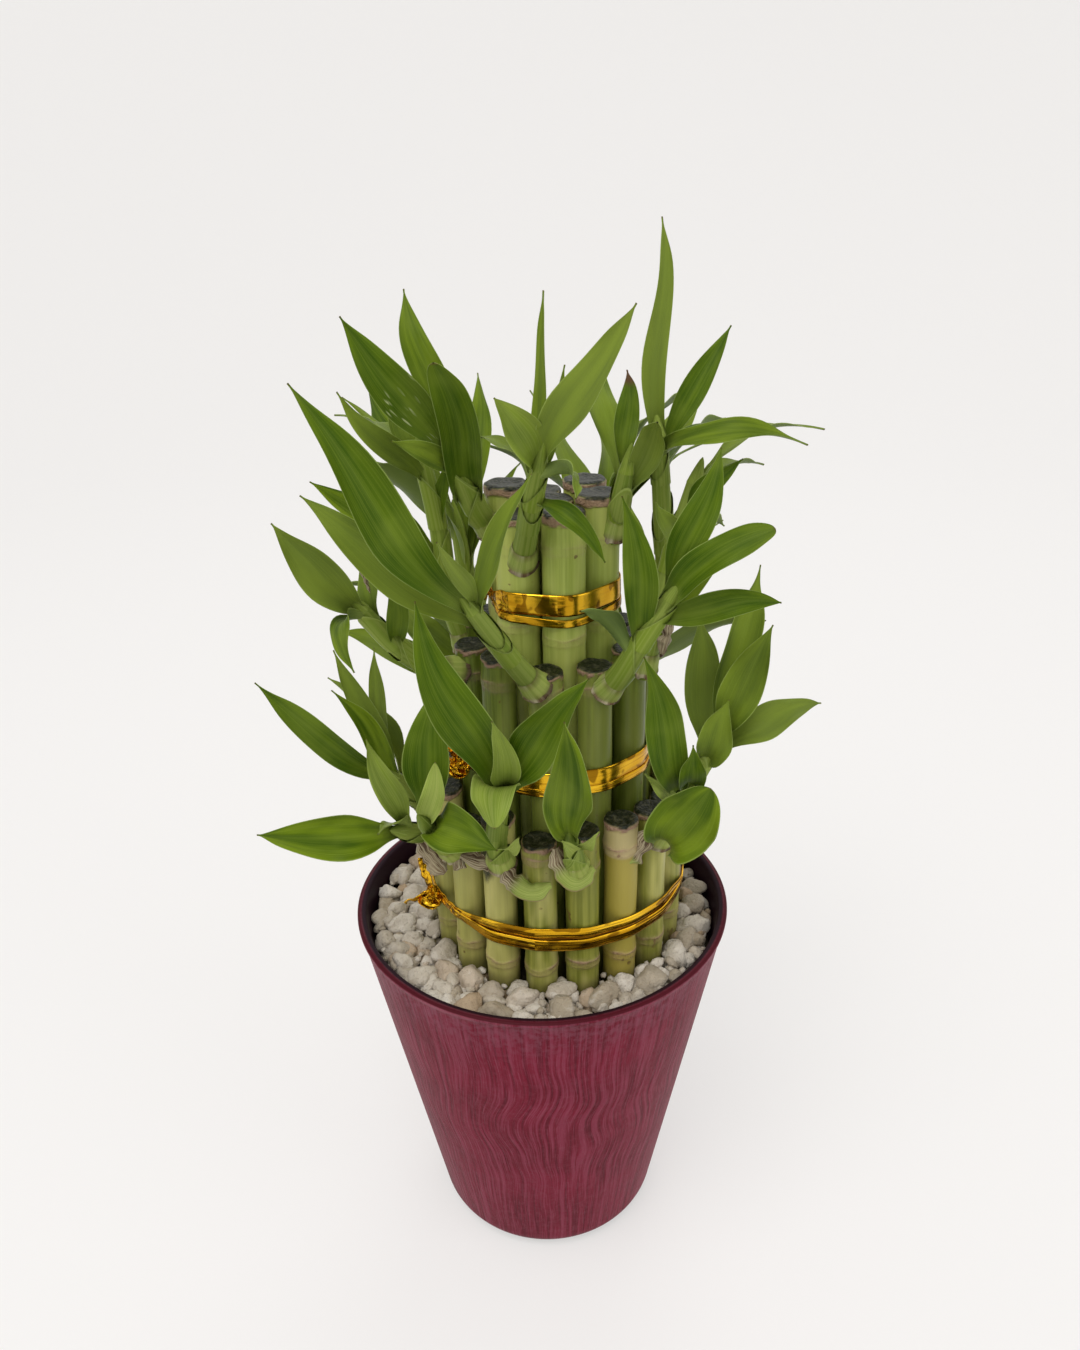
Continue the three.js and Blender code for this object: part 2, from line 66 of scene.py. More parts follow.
# rim is how far a tier's bark comes down from the top, node_mark how strong it is round the nodes
CANE = dict(columns=32, node_spread=2.5, seed=3, seed_step=1.7, cap=0.5, dirt_and_shade_top=131.5,
            rim={"lower": 1.5, "middle": 1.3, "upper": 2.6},
            node_mark={"lower": 0.85, "middle": 0.6, "upper": 0.35})
# Rows of a cane are these steps apart: up to bed, up to end below its top, and over the rest. Round
# each node they are finer, and no two are nearer than least
CANE_ROWS = dict(bed=116, end=6, least=0.15, steps=(12, 2.0, 0.4), node_reach=4.5, node_step=0.45)
# The two rings of bark round each node, as (height over it, strength)
NODE_RINGS = [(0.9, 1.0), (-1.2, 0.5)]
# The waxed end, as (share of the radius, depth under the top)
CAP = [(0.93, 0.15), (0.8, 0.0), (0.6, 0.25), (0.35, 0.45), (0.12, 0.5), (0.0, 0.5)]
# What sets a few canes apart: their tone mark (2 is a yellow cane, paler over its upper node) and
# dark wax run down one side, as (azimuth, length)
CANE_TONE = {"cane_lower_3": 2.0}
YELLOW_TOP = 173
CANE_WAX = {"cane_lower_18": (-75, 22), "cane_lower_1": (160, 10)}

# Ties, as in the part's source, with the strands that each band is wound of, as (height, width,
# drift), how far each is inset, where they meet and where they are crumpled, as (azimuth, reach)
TIES = [
    dict(name="lower", tier=0, z=147.5, knot_azimuth=-66, tails=[(-9, -3, -1), (-3, 4, 12)],
         strands=[(2.15, 3.3, 0.3), (-2.0, 4.1, -0.3), (0.3, 2.4, 0.0)], inset=(0, 0.1, -0.3),
         meet=(-66, 78), crumples=[(-66, 14)], shade=0.0),
    dict(name="middle", tier=1, z=197, knot_azimuth=-62, tails=[(-7, -4, 4), (-3, -5, 10)],
         strands=[(0.6, 7.0, 0.2), (-2.9, 2.6, 0.3)], inset=(0, 0.25),
         meet=(-62, 110), crumples=[(-62, 16)], shade=0.1),
    dict(name="upper", tier=2, z=249.5, knot_azimuth=-95, tails=[(-7, -4, 7), (-5, -6, 3)],
         strands=[(1.5, 6.6, 0.2), (-3.5, 2.5, -0.5)], inset=(0, 0.1),
         meet=(-95, 120), crumples=[(-95, 20), (-66, 8)], shade=0.35),
]
TIE = dict(smoothing=24, step=0.8, inner=0.6, thickness=0.35, knot=3.2, knot_gap=0.9, tail_width=3.2,
           tail_bow=(-1, -1, 1.2), loops=4, loop_width=2.4)

# Pebbles
BED = dict(top=126, fill_top=119, wall_gap=0.42, seed=11)
# Layers of pebbles from the top down: (height under the bed's top, least and largest half size,
# how close, seed, fineness)
PEBBLE_LAYERS = [
    (-0.6, 3.9, 5.6, 0.86, 5, 3),
    (0.4, 2.6, 4.2, 0.74, 8, 3),
    (3.2, 3.4, 5.0, 0.74, 13, 2),
    (5.6, 3.4, 5.0, 0.74, 17, 2),
    (0.2, 1.2, 1.9, 0.9, 21, 1),
]
# sides is the span of each side, next to the half size
PEBBLE = dict(thrown=3500, into_cane=0.62, into_wall=0.8, flats=5, turn=6.283,
              sides=((1.0, 1.2), (0.72, 0.98), (0.68, 0.84)))

# Leaf blades and stems, as in the part's source
BLADE = dict(base=0.3, full_at=0.45, tip=0.25, taper=1.25, fold_base=30, fold_tip=10, face_rise=25,
             thickness=0.5, rows=32, columns=11, clasp=10, wave=0.12, phase=6.28)
STEM = dict(foot=4.0, tip=2.6, leaf_reach=0.98, rows=40, columns=20, sunk=-0.25, pale=0.42)
# Leaf sheaths: how far one reaches below and above its leaf, how deep it is cut, how near another it
# is left out, and how far it stands off the stem and flares
SHEATH = dict(below=16.0, above=3.0, cut=14.0, apart=0.12, rows=10, lift=0.05, flare=0.3,
              pale=(0.38, 0.55))
SPIKE = dict(length=(6, 10), tip=0.12, rows=9, columns=12, pale=0.4)
HUSK = dict(rows=28, columns=13, thickness=0.14)
LEAF_TONE = (0.25, 1.0)
# Each shoot's seeds follow from its number: what is added to it, or the step from one to the next
SEEDS = dict(tones=40, stem=70, leaf_step=20, husk_step=7)
# Rows of a collar: (height up the stem, how far it stands out, how green it is)
COLLAR = [(0.0, 1.1, 0.0), (0.6, 1.25, 0.0), (1.2, 0.95, 0.1), (1.8, 0.9, 0.7), (3.2, 0.75, 1.0),
          (5.4, 0.45, 1.0), (8.0, 0.0, 1.0)]

# Kinds of leaf that look unlike the rest, as their material reads them
SPECKLED, BROWN_TIPPED, DRY = 1, 2, 3

# Each stem starts on its cane and lists its points; a leaf is
# (place along the stem, tip, width, arch, azimuth that its upper side faces, bluntness).
# What sets leaves apart goes by their number: young ones and how pale, deep green ones, other kinds,
# straps and how wide their base is next to the middle, and before, how far in mm a base stands
# before its stem. A husk, a dried sheath that the photo shows, is (path, width, how much it is
# cupped, share that is still green), and flare is how far in mm the shoot's leaf sheaths flare
SHOOTS = [
    dict(name="upper_left", stem=[(-12, 2, 267), (-17, -4, 276), (-20, -10, 286), (-23, -13, 296)],
         deep=[0, 1], strap={0: 0.95}, kind={1: SPECKLED}, flare=0.8, leaves=[
        (0.5, (-24, -37, 324), 11.5, 1, 0, 0.35),
        (0.95, (-48.5, -24, 334), 13, 3, 5),
        (1.0, (-34, -2, 338), 10, 4, 0),
        (0.8, (-38, -22, 301), 7, 3, -20),
    ]),
    dict(name="upper_front", stem=[(-4, -12, 261), (-2, -21, 273), (0, -29, 286), (2, -33, 296)],
         young={3: 0.2}, deep=[6], flare=0.35, leaves=[
        (0.8, (4, -22, 339), 5, 2, -40),
        (0.9, (9, -32, 322), 6.5, 2, 50),
        (1.0, (26, -44, 338), 11.5, 5, -15),
        (0.95, (-9, -42, 316), 10.5, 3, 10, 0.8),
        (0.85, (-16, -22, 302), 5.5, 4, 60),
        (0.95, (11, -50, 292), 8, 5, 180),
        (0.7, (19, -42, 272), 6.5, 4, 20),
    ]),
    dict(name="upper_right", stem=[(23, -6, 267), (25, -9, 277), (27, -10, 288)],
         young={0: 0.25}, deep=[1], kind={1: BROWN_TIPPED}, leaves=[
        (0.7, (34, -24, 305), 9, -5, 0, 0.5),
        (1.0, (28, 4, 314), 8, 2, 10),
        (0.9, (50, 22, 303), 10, 6, -80),
        (0.8, (22, 36, 312), 10, 6, 0),
    ]),
    dict(name="middle_left_back", stem=[(-22, 6, 226), (-27, 3, 245), (-29, 1, 270), (-32, 0, 290)],
         deep=[1], leaves=[
        (0.9, (-53, -14, 313), 8, 4, 10),
        (0.6, (-25, -2, 291), 6, 1, -30),
        (0.5, (-64, -10, 287), 12, 4, 5),
        (1.0, (-40, 14, 312), 9, 3, -10),
        (0.9, (-60, 18, 300), 10, 6, 60),
    ]),
    dict(name="middle_front", stem=[(1, -29, 228), (-5, -35, 238), (-11, -40, 249), (-17, -44, 260)],
         young={2: 0.2}, deep=[0], leaves=[
        (1.0, (-57, -55, 323), 14.5, 6, 5),
        (0.95, (0, -51, 299), 8, 4, -25),
        (1.0, (-24, -58, 284), 5.5, 2, 20),
        (0.85, (-61, -38, 291), 13, 3, 5),
    ]),
    dict(name="middle_left", stem=[(-22, -10, 226), (-33, -16, 231), (-43, -22, 242), (-50, -25, 253)],
         deep=[2],
         husks=[([(-49.5, -38, 278), (-48.5, -37, 272), (-47, -36, 267), (-46, -34, 262)], 3.2, 0.6, 0)],
         leaves=[
        (1.0, (-70, -36, 283), 12.5, 4, 10),
        (1.0, (-50, -46, 243), 8, 7, 180),
        (0.6, (-41, -30, 266), 7, 3, 10),
        (0.8, (-48, -10, 268), 7, 3, -20),
    ]),
    dict(name="middle_right", stem=[(20, -27, 226), (25, -34, 236), (31, -38, 249), (37, -41, 261)],
         deep=[0, 1, 2, 3, 4], strap={0: 0.7, 1: 0.6, 2: 0.6},
         husks=[([(41, -20, 250), (40, -21, 242), (38, -21, 235)], 5, 0.8, 0)], leaves=[
        (0.95, (62, -50, 283), 10, 5, -40, 0.35),
        (0.85, (66, -46, 261), 9, 4, -40, 0.8),
        (0.6, (23, -45, 291), 10, 3, 0),
        (0.5, (12, -49, 261), 7, 4, 180),
        (1.0, (50, -33, 300), 10.5, 4, -10),
    ]),
    dict(name="middle_far_right", stem=[(32, -15, 226), (36, -18, 246), (41, -17, 268), (46, -16, 286)],
         deep=[2], leaves=[
        (1.0, (84, -6, 298), 8, 7, -80),
        (0.95, (69, 2, 286), 8, 4, -60),
        (0.8, (58, -22, 294), 8, 4, -40),
        (0.7, (34, -24, 283), 7, 3, 0),
    ]),
    dict(name="middle_tall", stem=[(36, 0, 226), (40, -3, 250), (38, -7, 276), (36, -8, 298)],
         deep=[1, 3], strap={0: 0.75, 2: 0.6}, leaves=[
        (1.0, (36, -4, 355), 7.5, 3, 10),
        (0.9, (57, 2, 326), 8, 4, -20),
        (0.95, (75, -24, 298), 8, 12, -75),
        (0.7, (60, 20, 296), 10, 7, -60),
        (0.5, (60, 12, 264), 10, 6, -50),
    ]),
    dict(name="lower_far_left", stem=[(-37, -2, 172), (-42, -8, 180), (-47, -13, 190)], deep=[0], leaves=[
        (1.0, (-83, -28, 232), 10.5, 5, -10),
        (0.95, (-63, -8, 233), 8, 3, 10),
        (0.8, (-62, -22, 226), 8, 3, 0),
        (1.0, (-52, 2, 229), 7, 3, -15),
        (0.7, (-70, 12, 214), 10, 6, 60),
    ]),
    dict(name="lower_left", stem=[(-34, -16, 172), (-39, -26, 177), (-43, -34, 183)],
         young={1: 0.35, 2: 0.5},
         husks=[([(-41, -25, 179), (-37.5, -28, 172), (-34, -30.5, 168), (-30.5, -31.5, 165)], 5.5, 0.7, 0)],
         leaves=[
        (1.0, (-84, -45, 190), 14.5, 8, 30),
        (0.9, (-51, -33, 215), 9, 3, 10),
        (0.7, (-48, -46, 190), 7, 3, 180),
    ]),
    dict(name="lower_front_left", stem=[(-27, -29, 172), (-31, -38, 182), (-34, -45, 193)],
         young={1: 0.9}, deep=[0],
         husks=[([(-31, -31, 174.5), (-27.5, -34, 172.5), (-27, -35, 168.5)], 6, 0.5, 0),
                ([(-26, -34, 174), (-19.5, -37.5, 174), (-13, -41, 174.5), (-9, -43.5, 171)], 5, 0.6, 0.2)],
         leaves=[
        (1.0, (-27, -42, 238), 14, 3, -10),
        (0.95, (-29, -51, 217), 7.5, 3, 0, 0.6),
        (0.85, (-12, -63, 195), 15, 5, 30),
    ]),
    dict(name="lower_front", stem=[(-12, -37, 172), (-13, -44, 184), (-12, -49, 197), (-10, -52, 207)],
         young={1: 0.25, 3: 0.5, 4: 0.8}, deep=[0, 2],
         husks=[([(-13, -41.5, 175.5), (-8.5, -44.5, 171), (-3.5, -46, 168.5), (3, -45.5, 170)],
                 6, 0.8, 0.75)],
         leaves=[
        (0.9, (-30, -62, 270), 15, 5, 0),
        (1.0, (-12, -63, 236), 9, 3, 10),
        (1.0, (14, -55, 244), 14.5, 4, 0),
        (0.85, (-12, -73, 209), 14, 8, 180, 0.5),
        (0.3, (-6, -58, 196), 5.5, 2, 20),
    ]),
    dict(name="lower_middle", stem=[(11, -40, 172), (10, -46, 180), (9, -49, 188)],
         young={1: 0.7, 2: 0.7},
         husks=[([(4.5, -46.5, 184), (7, -47, 177), (11, -46, 172.5), (16, -44, 175)], 6.5, 0.7, 0.8)],
         leaves=[
        (1.0, (7, -68, 238), 14.5, 4, 0),
        (0.6, (6, -60, 196), 5, 2, 10),
        (0.8, (17, -56, 196), 5, 2, 30),
    ]),
    dict(name="lower_right", stem=[(37, -25, 171), (42, -30, 184), (47, -31, 197), (54, -28, 210)],
         young={1: 0.6}, deep=[2, 3], strap={0: 0.35, 7: 0.6}, before={0: 8.0},
         husks=[([(34, -35, 182), (31, -36, 176), (27, -37, 171.5)], 6, 0.6, 0.3)], leaves=[
        (0.1, (50.5, -43, 201.5), 21, 4, -5, 0.45),
        (0.35, (31, -41, 206), 5, 2, 20),
        (0.5, (30, -42, 244), 13.5, 4, 10),
        (0.6, (45, -41, 215), 9, 3, 0),
        (0.8, (56, -34, 226), 11, 3, -10),
        (0.9, (50, -10, 243), 12, 3, 0),
        (1.0, (69, -26, 246), 13, 4, -15),
        (0.95, (87, -20, 217), 11, 6, -50),
        (1.0, (68, -8, 258), 12, 3, 10),
    ]),
]

# Shoots of the far side, laid out by the part's seeded rule: (name, tier, cane, seed)
FAR_SHOOTS = [
    ("middle_back", 1, 5, 21),
    ("middle_back_far_left", 1, 7, 35),
    ("lower_back_right", 0, 8, 55),
    ("lower_back_left", 0, 11, 89),
]
FAR = dict(leaves=7, reach=(13, 20), rise=(26, 38), bend_out=0.65, bend_up=0.4, sink=0.5, below_node=3,
           leaf_reach=(32, 52), leaf_rise=(4, 50), width=(10, 13.5), arch=(4, 9),
           fan=27, roll=60, lowest_leaf=0.6, leaf_step=0.618)

# The floor's flat radii, its turn up, the heights of the wall behind, its colour and its own glow
STAGE = dict(flat=(0, 300, 700, 1100), turn=700, wall=(1300, 2400), columns=96,
             colour=(0.34, 0.335, 0.33), glow=(1.0, 0.985, 0.97), glow_strength=0.515)
# Soft lamps in metres and watts: (name, place, target, size, power, colour)
LIGHTS = [
    ("key", (-0.35, -0.65, 1.6), (0, 0, 0.2), 1.1, 15.0, (1.0, 0.985, 0.975)),
    ("fill", (1.2, -0.7, 0.9), (0, 0, 0.15), 1.0, 3.5, (0.97, 0.985, 1.0)),
    ("back", (0.3, 1.1, 1.4), (0, 0, 0.25), 1.0, 4.5, (1.0, 1.0, 1.0)),
]
WORLD = dict(colour=(0.97, 0.965, 0.955, 1.0), strength=0.37)
# The camera as fitted to the photo, with its focal length and image height in pixels
CAMERA = dict(place=(1, -315, 370), pitch=25.6, roll=-1.25, focal_px=1082, image_height_px=1350, sensor=36)


# Random numbers and small sums
RANDOM = dict(step=16807, modulus=2147483647, spread=7919)


def random_source(seed):
    """The part's small repeatable random numbers between 0 and 1."""
    state = seed * RANDOM["spread"] + 1

    def draw():
        nonlocal state
        state = (state * RANDOM["step"]) % RANDOM["modulus"]
        return state / RANDOM["modulus"]
    return draw


def around(random, spread):
    return (random() - 0.5) * 2 * spread


def mix(low, high, t):
    return low + (high - low) * t


def smooth(t):
    t = np.clip(t, 0, 1)
    return t * t * (3 - 2 * t)


def bell(distance, reach):
    return np.exp(-(distance / reach) ** 2)


def fade_ends(t):
    """1 along a blade and 0 at both its ends, where t is 0 and 1."""
    return np.minimum(smooth(t / 0.25), smooth((1 - t) / 0.2))


def unit(v):
    return v / np.linalg.norm(v, axis=-1, keepdims=True)


def outward(azimuth):
    a = math.radians(azimuth)
    return np.array([math.sin(a), -math.cos(a), 0.0])


def wobble(points, scale, seed):
    """Smooth noise of about -1 to 1 at each point; scale is the size of its lumps."""
    shift = Vector((seed * 3.1, seed * 7.7, seed * 1.3))
    flat = np.asarray(points, float).reshape(-1, 3) / scale
    values = [noise.noise(Vector(p) + shift) for p in flat]
    return np.array(values).reshape(np.shape(points)[:-1]) * 2


# Meshes
def layers(*values):
    """Stacks values into one array, each spread over the same rows and columns."""
    return np.stack(np.broadcast_arrays(*values), -1)


def ring_angles(columns):
    return np.arange(columns) * 2 * np.pi / columns


def along(direction, amount):
    """One direction for each row, times an amount for each row and column."""
    return direction[:, None, :] * amount[..., None]


def turned_pair(across, normal, angle):
    """Two directions, row by row, turned by an angle in their own plane."""
    cos, sin = np.cos(angle)[:, None], np.sin(angle)[:, None]
    return across * cos + normal * sin, normal * cos - across * sin


def strip_sides(points, facing):
    """Two directions across a strip at each of its points, the second one its upper side."""
    ahead = unit(np.gradient(points, axis=0))
    across = unit(np.cross(ahead, facing))
    return across, np.cross(across, ahead)


def both_faces(face, u):
    """Rows that close up: a sheet's upper face and, the other way across, its lower one."""
    return np.concatenate([face(u, 1), face(-u, -1)], 1)


def sheet_share(u):
    """How far across its sheet each column of both_faces lies, from 0 to 1."""
    return np.concatenate([u, -u]) / 2 + 0.5


def grid_faces(rows, columns):
    faces = []
    for start in range(0, (rows - 1) * columns, columns):
        for c in range(columns):
            d = (c + 1) % columns
            faces.append((start + c, start + d, start + columns + d, start + columns + c))
    return faces


class Shape:
    """Grids of vertices in millimetres, each with a UV pair and four marks for its material."""

    def __init__(self):
        self.points = []
        self.uv = []
        self.marks = []
        self.faces = []
        self.count = 0

    def grid(self, points, uv=None, marks=(0, 0, 0, 0)):
        """Rows of points whose last column joins the first."""
        rows, columns = points.shape[:2]
        if uv is None:
            uv = layers(np.linspace(0, 1, columns), np.linspace(0, 1, rows)[:, None])
        uv = np.broadcast_to(uv, (rows, columns, 2)).reshape(-1, 2)
        marks = np.broadcast_to(marks, (rows, columns, 4)).reshape(-1, 4)
        self.mesh(points.reshape(-1, 3), marks, grid_faces(rows, columns), uv)

    def mesh(self, points, marks, faces, uv=(0.5, 0.5)):
        self.points.append(points)
        self.uv.append(np.broadcast_to(uv, (len(points), 2)))
        self.marks.append(np.broadcast_to(marks, (len(points), 4)))
        self.faces += [[i + self.count for i in face] for face in faces]
        self.count += len(points)


def smooth_mesh(name, points, faces, material):
    mesh = bpy.data.meshes.new(name)
    mesh.from_pydata((points * MM).tolist(), [], faces)
    mesh.polygons.foreach_set("use_smooth", [True] * len(mesh.polygons))
    mesh.materials.append(material)
    return mesh


def add_object(name, data):
    made = bpy.data.objects.new(name, data)
    bpy.context.scene.collection.objects.link(made)
    return made


def make_piece(name, shape, material, node):
    mesh = smooth_mesh(name, np.concatenate(shape.points), shape.faces, material)
    corners = np.empty(len(mesh.loops), int)
    mesh.loops.foreach_get("vertex_index", corners)
    uv = np.concatenate(shape.uv)[corners]
    mesh.uv_layers.new(name="uv").data.foreach_set("uv", uv.ravel())
    marks = mesh.attributes.new("marks", "FLOAT_COLOR", "POINT")
    marks.data.foreach_set("color", np.concatenate(shape.marks).ravel())
    mesh.update()
    piece = add_object(name, mesh)
    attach(piece, "root")
    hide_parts(node)


def turned(profile, columns, x=0.0, y=0.0):
    """Rows of a surface turned about the vertical at x, y from (radius, height) pairs."""
    angle = ring_angles(columns)
    radius, height = np.asarray(profile, float).T[..., None]
    return layers(x + radius * np.sin(angle), y - radius * np.cos(angle), height)


def unit_ball(subdivisions):
    ball = bmesh.new()
    bmesh.ops.create_icosphere(ball, subdivisions=subdivisions, radius=1.0)
    points = np.array([v.co[:] for v in ball.verts])
    faces = [[v.index for v in f.verts] for f in ball.faces]
    ball.free()
    return points, faces


# Node materials
class Value:
    """A number or colour that varies over a surface, with the sums that its material needs."""

    def __init__(self, paint, socket):
        self.paint = paint
        self.socket = socket

    def calc(self, operation, *others):
        return self.paint.add("Math", enumerate((self, *others)), operation=operation)

    def __add__(self, other):
        return self.calc("ADD", other)

    def __sub__(self, other):
        return self.calc("SUBTRACT", other)

    def __rsub__(self, other):
        return self.paint.add("Math", {0: other, 1: self}, operation="SUBTRACT")

    def __mul__(self, other):
        return self.calc("MULTIPLY", other)

    def ramp(self, low, high, top=1.0):
        """A smooth step from 0 at low to top at high; low may be the larger one."""
        inputs = {"Value": self, "From Min": low, "From Max": high, "To Max": top}
        return self.paint.add("MapRange", inputs, interpolation_type="SMOOTHSTEP")

    def is_kind(self, kind):
        """1 where a leaf's kind is this one, and 0 elsewhere."""
        return self.calc("COMPARE", kind, 0.5)

    def parts(self):
        """The three numbers of a point or colour."""
        made = self.paint.add("SeparateXYZ", {0: self}).socket.node
        return [Value(self.paint, part) for part in made.outputs]


class Paint:
    """A node material: its shader, its named colours and short ways to add what feeds it."""

    def __init__(self, name, colours=None, **fixed):
        self.material = bpy.data.materials.new(name)
        self.material.use_nodes = True
        self.colours = colours
        self.tree = self.material.node_tree
        self.shader = self.tree.nodes["Principled BSDF"]
        for socket, value in fixed.items():
            socket = socket.replace("_", " ").title().replace("Ior", "IOR")
            self.shader.inputs[socket].default_value = value

    def add(self, kind, inputs=(), out=0, **settings):
        """Adds a node, sets or links its inputs and gives one of its outputs."""
        made = self.tree.nodes.new("ShaderNode" + kind)
        for key, value in settings.items():
            setattr(made, key, value)
        for key, value in dict(inputs).items():
            self.feed(made.inputs[key], value)
        return Value(self, made.outputs[out])

    def feed(self, socket, value):
        if isinstance(value, Value):
            self.tree.links.new(value.socket, socket)
        elif isinstance(value, str):
            socket.default_value = rgb(*self.colours[value])
        else:
            socket.default_value = value

    def coats(self, colour, *coats):
        """A colour with others laid over it, each with how strong it is; a colour is a name or a Value."""
        for over, strength in coats:
            colour = self.add("Mix", {0: strength, 6: colour, 7: over}, out=2, data_type="RGBA")
        return colour

    def noise(self, place, scale=1.0, detail=2.0, roughness=0.5):
        """Noise of about 0.3 to 0.7; place is a point or its three numbers."""
        if isinstance(place, tuple):
            place = self.point(*place)
        inputs = {"Vector": place, "Scale": scale, "Detail": detail, "Roughness": roughness}
        return self.add("TexNoise", inputs)

    def point(self, x, y, z):
        return self.add("CombineXYZ", {0: x, 1: y, 2: z})

    def place(self):
        """The point's place in the row frame, in metres."""
        return self.add("TexCoord", out="Object")

    def uv(self):
        return self.add("UVMap", uv_map="uv").parts()[:2]

    def marks(self):
        """The four marks of the surface."""
        colour = self.add("Attribute", out="Color", attribute_name="marks")
        return (*colour.parts(), Value(self, colour.socket.node.outputs["Alpha"]))

    def finish(self, colour, height, distance, strength):
        """Sets the colour and a relief of height times distance, in metres, and gives the material."""
        relief = self.add("Bump", {"Height": height, "Distance": distance, "Strength": strength})
        self.feed(self.shader.inputs["Base Color"], colour)
        self.feed(self.shader.inputs["Normal"], relief)
        return self.material


def rgb(r, g, b):
    return (r, g, b, 1.0)


# Colours, as linear red, green and blue
LEAF_COLOURS = dict(
    dark=(0.031, 0.068, 0.0005), light=(0.134, 0.198, 0.007), bright=(0.178, 0.230, 0.042),
    deep=(0.028, 0.068, 0.003), line=(0.19, 0.26, 0.03), patch=(0.160, 0.22, 0.026),
    midrib=(0.19, 0.26, 0.035), under=(0.14, 0.190, 0.062), young=(0.22, 0.30, 0.050),
    young_line=(0.33, 0.39, 0.095), edge=(0.32, 0.40, 0.11), brown=(0.10, 0.055, 0.025),
    speck=(0.33, 0.38, 0.17), dry=(0.14, 0.085, 0.045), dry_fibre=(0.43, 0.38, 0.25),
    fissure=(0.050, 0.022, 0.012), torn_edge=(0.27, 0.17, 0.09),
)
CANE_COLOURS = dict(
    yellow=(0.30, 0.24, 0.035), yellow_top=(0.42, 0.35, 0.17), spot=(0.11, 0.055, 0.02),
    dirt=(0.12, 0.10, 0.03), bark=(0.20, 0.10, 0.065), pale_bark=(0.42, 0.27, 0.20),
    wax=(0.008, 0.011, 0.003), wax_fleck=(0.080, 0.078, 0.042),
)
# The paler, warmer green of each tier is partly the canes' own tone and partly painted highlight
TIER_COLOURS = {
    "lower": dict(light=(0.27, 0.275, 0.050), dark=(0.100, 0.115, 0.008), warm=(0.58, 0.53, 0.19)),
    "middle": dict(light=(0.140, 0.185, 0.020), dark=(0.036, 0.055, 0.003), warm=(0.215, 0.24, 0.050)),
    "upper": dict(light=(0.38, 0.45, 0.095), dark=(0.19, 0.25, 0.032), warm=(0.41, 0.44, 0.11)),
}
POT_COLOURS = dict(
    deep=(0.118, 0.0035, 0.014), red=(0.165, 0.006, 0.023), streak=(0.225, 0.034, 0.065),
    groove=(0.072, 0.002, 0.009), fibre=(0.235, 0.042, 0.072), dust=(0.20, 0.045, 0.07),
    near_rim=(0.20, 0.065, 0.095), worn_edge=(0.30, 0.11, 0.14), inside=(0.016, 0.005, 0.010),
    lip=(0.062, 0.005, 0.010),
)
PEBBLE_COLOURS = dict(
    grey=(0.38, 0.32, 0.235), pale=(0.63, 0.58, 0.50), tan=(0.43, 0.32, 0.21),
    brown=(0.27, 0.21, 0.14), chalk=(0.80, 0.77, 0.71), pore=(0.22, 0.17, 0.12),
    fill=(0.07, 0.055, 0.035),
)
TIE_COLOURS = dict(
    gold=(0.90, 0.54, 0.03), deep_gold=(0.70, 0.38, 0.014), line=(0.38, 0.17, 0.005),
    amber=(0.13, 0.045, 0.002), shade=(0.07, 0.022, 0.002), crease=(0.16, 0.06, 0.003),
)


def leaf_specks(paint, u, v, seed):
    """Pale specks, sparse and only on the lower half of a leaf."""
    cells = paint.point(u * 9, v * 6, seed)
    spots = paint.add("TexVoronoi", {"Vector": cells, "Scale": 1.3})
    sparse = paint.noise(cells, 0.8, 1).ramp(0.47, 0.6)
    return spots.ramp(0.36, 0.2) * sparse * v.ramp(0.12, 0.2) * v.ramp(0.62, 0.5)


def leaf_paint():
    """Leaves; the marks are how pale, whether the lower face, the tone and the kind."""
    paint = Paint("leaf", LEAF_COLOURS, roughness=0.38, specular_ior_level=0.06)
    u, v = paint.uv()
    pale, under, tone, kind = paint.marks()
    seed = tone * 40
    bands = paint.noise((u * 2.6, v * 1.6, seed))
    lines = paint.noise((u * 55, v * 0.7, seed))
    patches = paint.noise(paint.place(), 55)
    fibre = paint.noise((u * 26, v * 2, seed), detail=3)
    fissure = paint.noise((u * 9, v * 7, seed), detail=3)
    off_rib = (u - 0.5).calc("ABSOLUTE")
    brown_tip = kind.is_kind(BROWN_TIPPED) * v.ramp(0.8, 0.9)
    dry_scrap = kind.is_kind(DRY)
    husk = dry_scrap * (1 - pale)

    young = paint.coats("young", ("young_line", lines.ramp(0.35, 0.6)))
    dry = paint.coats("dry", ("dry_fibre", fibre.ramp(0.36, 0.62)),
                      ("fissure", fissure.ramp(0.54, 0.62, 0.85)))
    colour = paint.coats(
        "dark",
        ("light", bands.ramp(0.3, 0.7)),
        ("bright", tone.ramp(0.35, 1, 0.6)),
        ("deep", tone.ramp(0.3, 0, 0.5)),
        ("line", lines.ramp(0.42, 0.75, 0.3)),
        ("patch", patches.ramp(0.45, 0.7, 0.35)),
        ("midrib", off_rib.ramp(0.13, 0, 0.16)),
        ("under", under * 0.6),
        (young, pale.calc("MAXIMUM", v.ramp(0.25, 0, 0.4))),
        ("edge", off_rib.ramp(0.47, 0.492, 0.5)),
        ("brown", v.ramp(0.985, 1, 0.6) + brown_tip),
        ("speck", leaf_specks(paint, u, v, seed) * kind.is_kind(SPECKLED)),
        ("torn_edge", off_rib.ramp(0.355, 0.39, 0.7) * dry_scrap),
        (dry, husk),
    )
    return paint.finish(colour, lines + fibre * husk * 5, 0.00012, 0.7)


